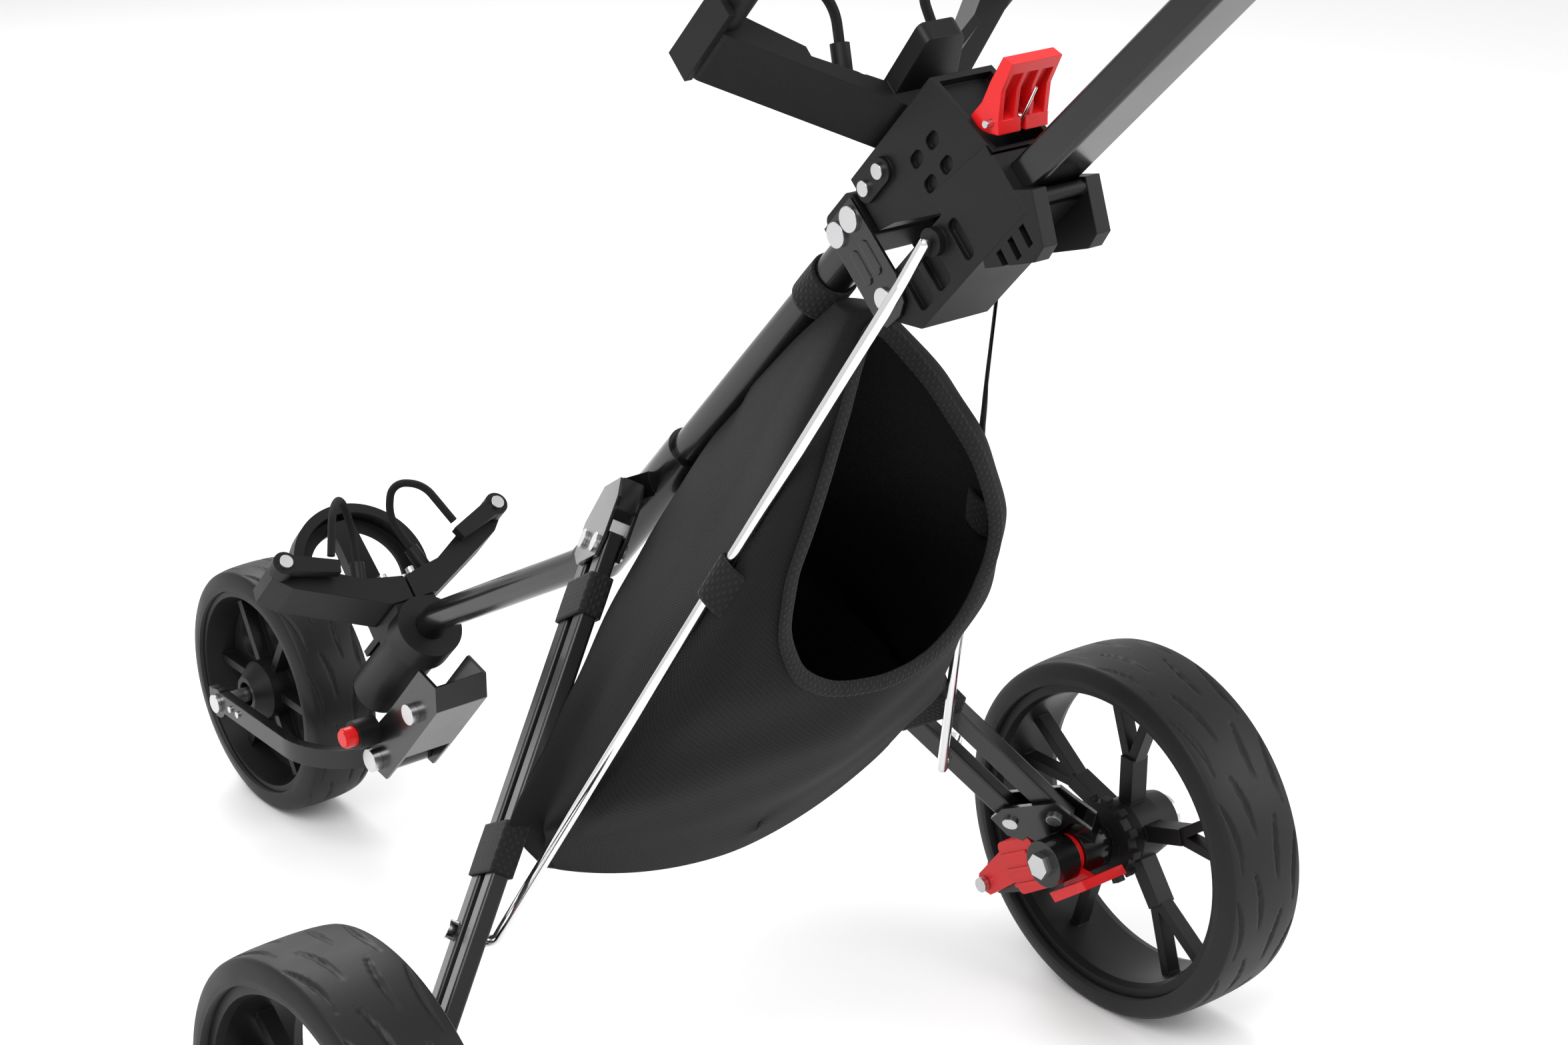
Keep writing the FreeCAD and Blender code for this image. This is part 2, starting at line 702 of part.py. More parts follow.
def fork_bracket():
    """Stamped channel under the sleeve that carries the fork's pivot."""
    w = bracket_half_width
    side = [(394, 212), (434, 168), (470, 132), (472, 104), (450, 100), (424, 128), (372, 186), (372, 206)]
    plates = side_plate(side, -w, -w + bracket_sheet)
    web = side_plate([(372, 186), (424, 128), (426.5, 130), (374.5, 188)], -w, w)
    top = side_plate([(372, 206), (372, 186), (374.5, 186), (374.5, 206)], -w, w)
    shape = fuse([plates, mirrored(plates), web, top])
    for y, z, radius in ((fork_pivot_y, fork_pivot_z, 5.0), (404, 174, 4.0)):
        shape = shape.cut(x_rod(y, z, -60, 60, radius))
    sleeve = rod(sleeve_point(-5, 0), sleeve_point(sleeve_length + 5, 0), sleeve_radius + 0.2)
    return shape.cut(sleeve)


def fork_bracket_bolts():
    """Cross bolt that clamps the channel's two sides."""
    half = bracket_half_width
    return fuse([
        x_rod(404, 174, -half - 3, half + 3, 4.0),
        x_rod(404, 174, -half - 6, -half, 8.0),
        x_rod(404, 174, half, half + 6, 8.0),
    ])


def lock_spot():
    return (fork_pivot_y + 2.0, fork_pivot_z + 24.0)


def lock_barrel():
    """Round housing of the fork's lock button, on the channel's left side."""
    y, z = lock_spot()
    body = x_rod(y, z, -40, -bracket_half_width, 11.5)
    return body.cut(x_rod(y, z, -41, -bracket_half_width - 2, 8.0 + running))


def lock_button():
    y, z = lock_spot()
    return fuse([x_rod(y, z, -48, -32, 8.0), x_rod(y, z, -50, -48, 6.5)])


def fork_pivot_bolt():
    outer = bracket_half_width + 3
    return fuse([
        x_rod(fork_pivot_y, fork_pivot_z, -outer, outer, 5.0),
        x_rod(fork_pivot_y, fork_pivot_z, -outer - 4, -bracket_half_width, 9.0),
        x_rod(fork_pivot_y, fork_pivot_z, bracket_half_width, outer + 4, 9.0),
    ])


def fork_arms():
    """The fork: a cross barrel and two bowed flat arms down to the axle."""
    inner = bracket_half_width - bracket_sheet - gap
    barrel = x_rod(fork_pivot_y, fork_pivot_z, -inner, inner, 12)
    neck = side_plate([(fork_pivot_y, fork_pivot_z - 8), (fork_pivot_y, fork_pivot_z + 8),
                       (fork_pivot_y + 34, fork_pivot_z - 1), (fork_pivot_y + 34, fork_pivot_z - 17)], -inner, inner)
    z = fork_pivot_z - 17
    half = fork_half_gap
    t = fork_bar_thickness
    centre_y = fork_pivot_y + 26 + half
    bow = Part.makeCylinder(half + t, fork_bar_height, V(0, centre_y, z)).cut(
        Part.makeCylinder(half, fork_bar_height, V(0, centre_y, z)))
    keep = Part.makeBox(2 * half + 40, half + t + 4, fork_bar_height, V(-half - 20, centre_y - half - t - 4, z))
    bow = bow.common(keep)
    arm = Part.makeBox(t, wheelbase - centre_y + 12, fork_bar_height, V(-half - t, centre_y, z))
    eye = x_rod(wheelbase, front_radius, -half - t, -half, 12)
    shape = fuse([barrel, neck, bow, arm, mirrored(arm), eye, mirrored(eye)])
    shape = shape.cut(x_rod(fork_pivot_y, fork_pivot_z, -60, 60, 5.0 + running))
    return shape.cut(x_rod(wheelbase, front_radius, -80, 80, axle_radius))


def front_axle():
    half = fork_half_gap + fork_bar_thickness
    return fuse([
        x_rod(wheelbase, front_radius, -half, half, axle_radius),
        x_rod(wheelbase, front_radius, -half - 3, -half, 7.5),
        x_rod(wheelbase, front_radius, half, half + 3, 7.5),
    ])


def fork_rivets():
    half = fork_half_gap + fork_bar_thickness
    pieces = []
    for y, z in ((wheelbase - 22, front_radius + 3), (wheelbase - 34, front_radius + 3)):
        pieces.append(x_rod(y, z, -half - 1.6, -half, 2.6))
    return both(Part.makeCompound(pieces))


def front_tyre():
    shape = domed_tyre(front_radius, front_width, front_rim_radius + gap / 4, 4.5)
    return moved(shape, V(0, wheelbase, front_radius))


def front_rim():
    """Deep-dished rim with six box spokes and a long hub."""
    r = front_rim_radius
    half = front_width / 2 - 3
    barrel = revolved([(-half, r - 5), (-half, r), (half, r), (half, r - 5), (5, r - 12), (-5, r - 12)])
    disc = revolved([(-4, 20), (-4, r - 10), (4, r - 10), (4, 20)])
    for i in range(6):
        angle = math.radians(60 * i)
        centre = 50.0
        disc = disc.cut(rod(V(-10, centre * math.sin(angle), centre * math.cos(angle)),
                            V(10, centre * math.sin(angle), centre * math.cos(angle)), 15))
    hub = revolved([(-34, 10), (-34, 14), (-22, 24), (22, 24), (34, 14), (34, 10)])
    ribs = [turned(Part.makeBox(30, 7, 54, V(-15, -3.5, 20)), 60 * i + 30) for i in range(6)]
    shape = fuse([barrel, disc, hub] + ribs)
    shape = shape.cut(rod(V(-60, 0, 0), V(60, 0, 0), axle_radius + bore_clearance))
    return moved(shape, V(0, wheelbase, front_radius))


def stay_rod():
    """Chrome rod from the folding arm to the left leg's front bar, with its nut."""
    top, knee, foot = rod_line()
    through = leg_point(rod_foot, front_bar_shift[1], -bar_thickness / 2 - 6.5)
    lower = bent_bar([knee, foot, through], 8.0, rod_radius)
    upper = rod(top, knee, rod_radius)
    joints = [Part.makeSphere(rod_radius, knee), Part.makeSphere(rod_radius, top)]
    nut = rod(through, leg_point(rod_foot, front_bar_shift[1], -bar_thickness / 2 - 0.7), 6.5)
    return fuse([lower, upper, nut] + joints)


def carrier_blank():
    """The left wheel's carrier before its pin holes are bored."""
    outline = [(bar_length - 14, -12), (bar_length - 22, 30), (bar_length - 16, 46), (bar_length + 4, 47),
               (bar_length + 32, 24), (bar_length + 34, -10), (bar_length + 20, -18), (bar_length, -14)]
    near = bar_thickness / 2 + cheek_gap
    web = leg_plate([(bar_length + 14, -14), (bar_length + 11, 22), (bar_length + 10, 42), (bar_length + 32, 24),
                     (bar_length + 34, -10), (bar_length + 20, -18)], -near - 1, near + 1)
    boss = fuse([x_rod(0, rear_radius, -286, -262, 17), x_rod(0, rear_radius, -262, -256, boss_radius),
                 x_rod(0, rear_radius, -256, -236, 17)])
    return fuse([cheek(outline, -1), cheek(outline, 1), web, boss])


def wheel_carrier():
    """Carrier that joins both bars to the wheel's axle and bears the brake."""
    ear = [(-4, 126), (2, 146), (20, 140), (64, 108), (89, 86), (90, 72), (76, 66), (40, 84), (6, 118)]
    shape = fuse([carrier_blank(), side_plate(ear, -272, -266)])
    shape = bored_for_pins(shape, lower_pins)
    shape = shape.cut(x_rod(0, rear_radius, -400, -200, axle_radius))
    groove = x_rod(0, rear_radius, -262, -256, 40).cut(x_rod(0, rear_radius, -262, -256, boss_radius))
    behind = Part.makeBox(6, 80, 80, V(-262, -46, rear_radius - 52))
    shape = shape.cut(groove.common(behind))
    y, z = brake_spot
    room = side_plate([(74, 116), (34, 143), (0, 110), (30, 80), (70, 60), (92, 60), (92, 90)], -264.4, -248)
    return shape.cut(room).cut(x_rod(y, z, -300, -200, 3.0))


def brake_pedal():
    """Red foot pedal: a ribbed pad on an arm, turning on the carrier's ear."""
    y, z = brake_spot
    arm = side_plate([(y + 7, z - 6), (y + 7, z + 5), (60, 116), (40, 98), (y - 6, z - 7)], -264, -256)
    pad = rounded(side_plate([(67, 116), (33, 136), (7, 107), (37, 87)], -264, -252), 5, V(1, 0, 0))
    ribs = []
    for share in (0.22, 0.5, 0.78):
        foot = V(-252, 67 - 30 * share, 116 - 29 * share)
        ribs.append(prism([foot, foot + V(0, -26, 15.3), foot + V(0, -28, 13.3), foot + V(0, -2, -2)], V(1.6, 0, 0)))
    shape = fuse([arm, pad] + ribs)
    return shape.cut(x_rod(y, z, -300, -200, 3.0 + running))


def brake_bolt():
    y, z = brake_spot
    return fuse([x_rod(y, z, -275, -252, 3.0), x_rod(y, z, -255.6, -251, 5.5)])


def release_tab():
    """Red quick-release tab: a paddle on a ring that turns in the boss's groove."""
    hoop = x_rod(0, rear_radius, -261.6, -256.4, 14.5)
    neck = side_plate([(-2, 121), (-12, 128), (-28, 127), (0, 104)], -261.6, -256.4)
    paddle = side_plate([(3, 106), (-28, 129), (-33, 124), (-3, 101)], -285, -246)
    return fuse([hoop, neck, paddle]).cut(x_rod(0, rear_radius, -300, -200, boss_radius + running))


def leg_strap(down, length):
    """Webbing loop round both bars of the left leg."""
    wall = 2.2
    half_e = bar_width / 2 + 0.3
    half_n = bar_thickness / 2 + 0.3
    far_e = front_bar_shift[1] + half_e
    outer = prism([leg_point(down, e, n) for e, n in
                   ((-half_e - wall, -half_n - wall), (far_e + wall, -half_n - wall),
                    (far_e + wall, half_n + wall), (-half_e - wall, half_n + wall))], LEG_D * length)
    inner = prism([leg_point(down - 1, e, n) for e, n in
                   ((-half_e, -half_n), (far_e, -half_n), (far_e, half_n), (-half_e, half_n))],
                  LEG_D * (length + 2))
    return outer.cut(inner)


def leg_straps():
    return Part.makeCompound([leg_strap(24, 28), leg_strap(188, 36)])


def rod_line():
    """The left stay rod's straight run, from its knee to its foot."""
    top = tube_point(hinge_up + crank, hinge_back, -rod_side)
    knee = top - UP * 28 + BACK * 8 - V(5, 0, 0)
    return top, knee, leg_point(rod_foot, front_bar_shift[1], bar_thickness / 2 + 13.5)


def rod_strap():
    """Webbing loop of the pouch round the left stay rod."""
    _, knee, foot = rod_line()
    along = unit(knee - foot)
    start = foot + (knee - foot) * 0.56
    return ring(start, start + along * 30, rod_radius + 2.4, rod_radius + 0.3)


def tube_strap():
    return ring(tube_point(226, 0), tube_point(254, 0), main_radius + 2.4, main_radius + 0.2)


pouch_sections = [
    # height, front half-width and y, side, rear corner, middle of the rear
    (612.0, (4.0, -62.0), (10.0, -70.0), (12.0, -84.0), -88.0),
    (560.0, (9.0, -14.0), (34.0, -50.0), (56.0, -98.0), -112.0),
    (490.0, (12.0, 46.0), (60.0, -30.0), (92.0, -106.0), -126.0),
    (420.0, (30.0, 80.0), (86.0, 10.0), (112.0, -82.0), -122.0),
    (340.0, (98.0, 70.0), (122.0, 30.0), (132.0, -40.0), -96.0),
    (270.0, (148.0, 46.0), (152.0, 30.0), (150.0, -4.0), -46.0),
    (205.0, (96.0, 36.0), (100.0, 30.0), (96.0, 20.0), 8.0),
]
pouch_wall = 2.5


def pouch_wire(height, front, side, rear, middle, inset):
    """One level of the pouch: a closed outline, drawn in by the inset."""
    centre = (front[1] + middle) / 2
    half = []
    for x, y in (front, side, rear):
        half.append((max(x - inset, 1.0), y + math.copysign(min(inset, abs(centre - y) / 2), centre - y)))
    points = [V(-x, y, height) for x, y in half]
    points.append(V(0, middle + inset, height))
    points = points + [V(x, y, height) for x, y in reversed(half)]
    return Part.makePolygon(points + points[:1])


def pouch_loft(inset):
    """The pouch's form, ruled from level to level."""
    wires = []
    for height, front, side, rear, middle in pouch_sections:
        level = height
        if height == pouch_sections[0][0]:
            level = height - inset
        if height == pouch_sections[-1][0]:
            level = height + inset
        wires.append(pouch_wire(level, front, side, rear, middle, inset))
    return Part.makeLoft(wires, True, True)


def storage_pouch():
    """Thin fabric bag, open at the rear through an oval mouth."""
    shell = pouch_loft(0.0).cut(pouch_loft(pouch_wall))
    half = [(0, 384), (36, 389), (64, 408), (79, 440), (80, 475), (70, 510), (54, 545), (33, 575), (13, 598)]
    rim = half + [(0, 604)] + [(-x, z) for x, z in reversed(half[1:])]
    outline = [V(x, -240, z) for x, z in rim]
    mouth = prism(outline, V(0, 240 - 84, 0))
    return shell.cut(mouth)


def elastic_cord(points):
    return piped(cord_route(points), points, cord_radius)


def lower_cord_points(side):
    """Cord of the lower saddle, from a jaw's lever round to its hook."""
    return [
        sleeve_point(-7, jaw_rise + 1, side * (jaw_reach - 38)),
        sleeve_point(-14, jaw_rise + 34, side * (jaw_reach - 52)),
        sleeve_point(-2, jaw_rise + 46, side * 22),
        sleeve_point(14, jaw_rise + 26, side * 16),
        sleeve_point(18, jaw_rise - 7, side * 25),
    ]


def upper_cord_points(side):
    """Cord of the upper saddle, from the roller down to its hook."""
    return [
        tube_point(411, -cradle_rise - 5.3, side * (cradle_reach - 14)),
        tube_point(416, -cradle_rise - 6, side * 62),
        tube_point(400, -cradle_rise + 10, side * 30),
        tube_point(388, -64, side * 34),
    ]


def cord_hooks():
    """Ferrules on the cords' free ends."""
    pieces = []
    for points in (lower_cord_points(-1), lower_cord_points(1), upper_cord_points(-1), upper_cord_points(1)):
        end = points[-1]
        along = unit(points[-1] - points[-2])
        pieces.append(ring(end - along * 6, end + along * 12, 5.5, cord_radius + 0.2))
    return Part.makeCompound(pieces)


def left_side():
    """Everything of the left leg, keyed by its name."""
    wheel_shift = V(-rear_half_track, 0, rear_radius)
    return {
        "rear_leg_bar": bar(0.0, 0.0),
        "front_leg_bar": front_leg_bar(),
        "stay_rod": stay_rod(),
        "wheel_carrier": wheel_carrier(),
        "carrier_bolts": Part.makeCompound([leg_pins(lower_pins), brake_bolt()]),
        "rear_axle": rear_axle(),
        "rear_tyre": moved(rear_tyre(), wheel_shift),
        "rear_rim": moved(rear_rim(), wheel_shift),
        "brake_pedal": brake_pedal(),
        "release_tab": release_tab(),
        "rod_strap": rod_strap(),
        "leg_straps": leg_straps(),
    }


def all_nodes():
    nodes = {
        "main_tube": main_tube(),
        "front_tube": front_tube(),
        "leg_bracket": bored_both(leg_bracket()),
        "frame_rivets": Part.makeCompound([both(leg_pins(upper_pins)), housing_rivets(), hinge_plate_rivets()]),
        "hinge_housing": hinge_housing(),
        "hinge_clamp": hinge_clamp(),
        "hinge_plates": hinge_plates(),
        "hinge_pins": Part.makeCompound([hinge_bolt(), lever_pin()]),
        "bag_cradle": bag_cradle(),
        "cradle_rollers": cradle_rollers(),
        "cradle_cords": Part.makeCompound([elastic_cord(upper_cord_points(side)) for side in (-1, 1)]),
        "cord_hooks": cord_hooks(),
        "lower_sleeve": lower_sleeve(),
        "bag_jaws": bag_jaws(),
        "bag_base_rest": bag_base_rest(),
        "lower_cords": Part.makeCompound([elastic_cord(lower_cord_points(side)) for side in (-1, 1)]),
        "jaw_fasteners": Part.makeCompound([jaw_eyelets(), lever_screws()]),
        "left_cord_lever": cord_lever(-1),
        "right_cord_lever": cord_lever(1),
        "fork_bracket": fork_bracket(),
        "lock_barrel": lock_barrel(),
        "lock_button": lock_button(),
        "bracket_bolts": Part.makeCompound([fork_bracket_bolts(), fork_pivot_bolt()]),
        "fork_arms": fork_arms(),
        "front_axle_and_rivets": Part.makeCompound([front_axle(), fork_rivets()]),
        "front_tyre": front_tyre(),
        "front_rim": front_rim(),
        "storage_pouch": storage_pouch(),
        "tube_strap": tube_strap(),
        "hinge_arm": hinge_arm(),
        "handle_tube": handle_tube(),
        "handle_grip": handle_grip(),
        "handle_head": handle_head(),
        "side_pads": side_pads(),
        "release_lever": release_lever(),
        "lever_spring": lever_spring(),
    }
    for name, shape in left_side().items():
        nodes["left_" + name] = shape
        nodes["right_" + name] = mirrored(shape)
    return nodes


def bored_both(shape):
    """Bore the rivets' holes of both legs through a piece."""
    shape = bored_for_pins(shape, upper_pins)
    return mirrored(bored_for_pins(mirrored(shape), upper_pins))


def main():
    os.makedirs("parts", exist_ok=True)
    nodes = all_nodes()
    rearmost = min(vertex.Y for vertex in nodes["handle_grip"].Vertexes + nodes["handle_head"].Vertexes)
    middle = (rearmost + wheelbase + front_radius) / 2
    for name, shape in nodes.items():
        shape.translate(V(0, -middle, 0))
        shape.exportStep("parts/" + name + ".step")
        box = shape.BoundBox
        print(name, len(shape.Solids), shape.isValid(),
              [round(v, 1) for v in (box.XMin, box.XMax, box.YMin, box.YMax, box.ZMin, box.ZMax)])
    print("rear axle y", round(-middle, 4))


main()
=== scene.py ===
import bpy
import json
import math
import numpy as np
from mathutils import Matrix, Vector


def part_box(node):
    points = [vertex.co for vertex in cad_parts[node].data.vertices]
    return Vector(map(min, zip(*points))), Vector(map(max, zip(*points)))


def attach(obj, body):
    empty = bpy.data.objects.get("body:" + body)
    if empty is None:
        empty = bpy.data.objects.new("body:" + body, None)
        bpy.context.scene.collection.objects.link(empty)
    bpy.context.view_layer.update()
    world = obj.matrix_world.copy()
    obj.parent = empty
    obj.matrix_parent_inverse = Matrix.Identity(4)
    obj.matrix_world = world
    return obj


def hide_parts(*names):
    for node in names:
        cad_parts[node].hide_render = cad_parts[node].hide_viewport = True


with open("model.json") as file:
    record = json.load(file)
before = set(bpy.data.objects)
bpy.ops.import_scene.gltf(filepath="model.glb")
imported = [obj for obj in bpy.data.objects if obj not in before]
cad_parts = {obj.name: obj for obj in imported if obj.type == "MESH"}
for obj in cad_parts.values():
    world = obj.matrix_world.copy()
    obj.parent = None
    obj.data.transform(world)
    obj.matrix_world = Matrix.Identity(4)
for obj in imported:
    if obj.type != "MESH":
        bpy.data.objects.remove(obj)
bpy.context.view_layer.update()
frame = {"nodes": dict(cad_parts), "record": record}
cadNodes = frame["nodes"]
axleLow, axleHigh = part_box("left_rear_axle")
axleY = (axleLow.y + axleHigh.y) / 2  # the rear axle's line, in metres
print("frame loaded", len(cadNodes), "nodes")


# ---- where things are, from the cart's own layout ----

layout = {
    "tubeTilt": 47.0,
    "tubeFoot": (0.0, 119.0, 440.0),
    "legPivot": (-53.0, 103.5, 416.0),
    "legDown": (-0.6049, -0.2840, -0.7439),
    "rearWheel": (321.0, 0.0, 133.5),
    "frontWheel": (0.0, 643.5, 101.5),
    "lowerTilt": 46.0,
    "frontTubeStart": -98.0,
    "frontTubeTilt": 29.4,
    "frontTubeStraight": 246.0,
}


def unitVector(v):
    return np.asarray(v, float) / np.linalg.norm(v)


tilt = math.radians(layout["tubeTilt"])
upTube = np.array([0, -math.cos(tilt), math.sin(tilt)])
backTube = np.array([0, -math.sin(tilt), -math.cos(tilt)])
legDown = unitVector(layout["legDown"])
legAcross = unitVector(np.cross(legDown, -upTube))
legForward = np.cross(legAcross, legDown)
low = math.radians(layout["lowerTilt"])
sleeveDown = np.array([0, math.cos(low), -math.sin(low)])
sleeveRise = np.array([0, math.sin(low), math.cos(low)])


def place(points):
    # millimetres from the rear axle's ground point -> metres in the row frame
    return np.asarray(points, float) / 1000 + np.array([0, axleY, 0])


def tubePoint(up, back, x=0.0):
    # a point of the spine: foot + up * tube direction + back * its rear normal
    return np.array(layout["tubeFoot"]) + up * upTube + back * backTube + np.array([x, 0, 0])


def legPoint(down, forward, across, side):
    # a point of a leg: pivot + down * leg + forward * in-plane normal + across * pivot axis
    p = np.array(layout["legPivot"]) + down * legDown + forward * legForward + across * legAcross
    return p * np.array([-side, 1, 1])


def sleevePoint(along, rise, x=0.0):
    slope = math.radians(layout["frontTubeTilt"])
    start = tubePoint(layout["frontTubeStart"], 0)
    bend = start + layout["frontTubeStraight"] * np.array([0, math.cos(slope), -math.sin(slope)])
    return bend + (along + 16) * sleeveDown + rise * sleeveRise + np.array([x, 0, 0])


# ---- mesh helpers ----

def surfaceMesh(name, grid, wrapRows=False, wrapColumns=False, uv=None, drop=None):
    # a grid of points (rows, columns, 3) becomes quads between neighbours; faces are turned outward
    rows, cols = grid.shape[:2]
    r = np.arange(rows if wrapRows else rows - 1)[:, None]
    c = np.arange(cols if wrapColumns else cols - 1)[None, :]
    r2, c2 = (r + 1) % rows, (c + 1) % cols
    quads = np.stack([r * cols + c, r * cols + c2, r2 * cols + c2, r2 * cols + c], -1).reshape(-1, 4)
    loops = np.stack(np.broadcast_arrays(*[i * (cols + 1) + j for i, j in
                     ((r, c), (r, c + 1), (r + 1, c + 1), (r + 1, c))]), -1).reshape(-1, 4)
    verts = grid.reshape(-1, 3)
    if drop is not None:
        keep = ~drop.reshape(-1)
        quads, loops = quads[keep], loops[keep]
    corners = verts[quads]
    normal = np.cross(corners[:, 2] - corners[:, 0], corners[:, 3] - corners[:, 1])
    outward = (normal * (corners.mean(1) - verts.mean(0))).sum()
    if outward < 0:
        quads, loops = quads[:, ::-1], loops[:, ::-1]
    mesh = bpy.data.meshes.new(name)
    mesh.from_pydata(verts.tolist(), [], quads.tolist())
    if uv is not None:
        layer = mesh.uv_layers.new(name="UVMap")
        layer.data.foreach_set("uv", uv.reshape(-1, 2)[loops].reshape(-1))
    mesh.polygons.foreach_set("use_smooth", np.ones(len(mesh.polygons), bool))
    obj = bpy.data.objects.new(name, mesh)
    bpy.context.collection.objects.link(obj)
    return obj


def closeEnds(obj):
    # fills the open ends of a tube-like surface
    import bmesh
    bm = bmesh.new()
    bm.from_mesh(obj.data)
    bmesh.ops.remove_doubles(bm, verts=bm.verts, dist=1e-6)
    edges = [e for e in bm.edges if e.is_boundary]
    bmesh.ops.holes_fill(bm, edges=edges, sides=0)
    bmesh.ops.recalc_face_normals(bm, faces=bm.faces)
    bm.to_mesh(obj.data)
    bm.free()
    return obj


def roundSpline(points, count, closed=False):
    # Catmull-Rom: the curve passes through each point, its slope there half the chord of the neighbours
    p = np.asarray(points, float)
    n = len(p)
    spans = n if closed else n - 1
    t = np.linspace(0, spans, count, endpoint=not closed)
    i = np.minimum(t.astype(int), spans - 1)
    f = (t - i).reshape((-1,) + (1,) * (p.ndim - 1))
    if closed:
        a, b, c, d = p[(i - 1) % n], p[i % n], p[(i + 1) % n], p[(i + 2) % n]
    else:
        a, b, c, d = p[np.maximum(i - 1, 0)], p[i], p[i + 1], p[np.minimum(i + 2, n - 1)]
    m0, m1 = (c - a) * 0.42, (d - b) * 0.42
    return ((2 * f**3 - 3 * f**2 + 1) * b + (f**3 - 2 * f**2 + f) * m0
            + (3 * f**2 - 2 * f**3) * c + (f**3 - f**2) * m1)


def sweep(name, line, wide, thick, across, sides=20, closed=False):
    # an ellipse carried along a line: line + cos * wide * across + sin * thick * normal
    tangent = (np.roll(line, -1, 0) - np.roll(line, 1, 0)) if closed else np.gradient(line, axis=0)
    tangent /= np.linalg.norm(tangent, axis=1)[:, None]
    across = across - (across * tangent).sum(1)[:, None] * tangent
    across /= np.linalg.norm(across, axis=1)[:, None]
    normal = np.cross(tangent, across)
    angle = np.linspace(0, 2 * np.pi, sides, endpoint=False)[None, :, None]
    grid = line[:, None] + np.cos(angle) * wide * across[:, None] + np.sin(angle) * thick * normal[:, None]
    step = np.linalg.norm(np.diff(line, axis=0), axis=1)
    run = np.concatenate([[0], np.cumsum(step), [step.sum() + step.mean()]])
    around = np.linspace(0, 2 * np.pi * wide, sides + 1)
    uv = np.stack(np.broadcast_arrays(run[:, None], around[None, :]), -1)
    obj = surfaceMesh(name, grid, wrapRows=closed, wrapColumns=True, uv=uv)
    return obj if closed else closeEnds(obj)


# ---- shader groups ----

def newGroup(name, inputs, outputs):
    group = bpy.data.node_groups.new(name, "ShaderNodeTree")
    for label, kind, value in inputs:
        socket = group.interface.new_socket(name=label, in_out="INPUT", socket_type=kind)
        if value is not None:
            socket.default_value = value
    for label, kind in outputs:
        group.interface.new_socket(name=label, in_out="OUTPUT", socket_type=kind)
    return group, group.nodes.new("NodeGroupInput"), group.nodes.new("NodeGroupOutput")


def mathNode(tree, kind, a, b=None):
    node = tree.nodes.new("ShaderNodeMath")
    node.operation = kind
    for i, value in enumerate((a, b)):
        if value is None:
            continue
        if isinstance(value, (int, float)):
            node.inputs[i].default_value = value
        else:
            tree.links.new(value, node.inputs[i])
    return node.outputs[0]


def grainGroup():
    # fine moulded grain and broad uneven tone from two noises on Object coordinates
    group, enter, leave = newGroup("surfaceGrain", [
        ("Grain Scale", "NodeSocketFloat", 900.0), ("Tone Scale", "NodeSocketFloat", 9.0)],
        [("Grain", "NodeSocketFloat"), ("Tone", "NodeSocketFloat")])
    coords = group.nodes.new("ShaderNodeTexCoord")
    fine = group.nodes.new("ShaderNodeTexNoise")
    fine.inputs["Detail"].default_value = 3
    broad = group.nodes.new("ShaderNodeTexNoise")
    broad.inputs["Detail"].default_value = 4
    for node, socket in ((fine, "Grain Scale"), (broad, "Tone Scale")):
        group.links.new(coords.outputs["Object"], node.inputs["Vector"])
        group.links.new(enter.outputs[socket], node.inputs["Scale"])
    group.links.new(fine.outputs["Fac"], leave.inputs["Grain"])
    group.links.new(broad.outputs["Fac"], leave.inputs["Tone"])
    return group


def weaveGroup():
    # plain weave on the UV map: warp and weft crowns, each thread over and under in turn
    group, enter, leave = newGroup("plainWeave", [
        ("Threads Across", "NodeSocketFloat", 900.0), ("Threads Along", "NodeSocketFloat", 900.0)],
        [("Height", "NodeSocketFloat"), ("Fuzz", "NodeSocketFloat")])
    uvMap = group.nodes.new("ShaderNodeUVMap")
    split = group.nodes.new("ShaderNodeSeparateXYZ")
    group.links.new(uvMap.outputs["UV"], split.inputs[0])
    threadsU = mathNode(group, "MULTIPLY", split.outputs[0], enter.outputs["Threads Across"])
    threadsV = mathNode(group, "MULTIPLY", split.outputs[1], enter.outputs["Threads Along"])
    u = mathNode(group, "MULTIPLY", threadsU, math.pi)
    v = mathNode(group, "MULTIPLY", threadsV, math.pi)
    crossing = mathNode(group, "MULTIPLY", mathNode(group, "SINE", u), mathNode(group, "SINE", v))
    warp = mathNode(group, "ABSOLUTE", mathNode(group, "SINE", u))
    weft = mathNode(group, "ABSOLUTE", mathNode(group, "SINE", v))
    crown = mathNode(group, "MULTIPLY", mathNode(group, "ADD", warp, weft), 0.3)
    height = mathNode(group, "ADD", crown, mathNode(group, "MULTIPLY", crossing, 0.35))
    fuzz = group.nodes.new("ShaderNodeTexNoise")
    fuzz.inputs["Scale"].default_value = 2600
    coords = group.nodes.new("ShaderNodeTexCoord")
    group.links.new(coords.outputs["Object"], fuzz.inputs["Vector"])
    group.links.new(height, leave.inputs["Height"])
    group.links.new(fuzz.outputs["Fac"], leave.inputs["Fuzz"])
    return group


grain = grainGroup()
weave = weaveGroup()


# ---- materials ----

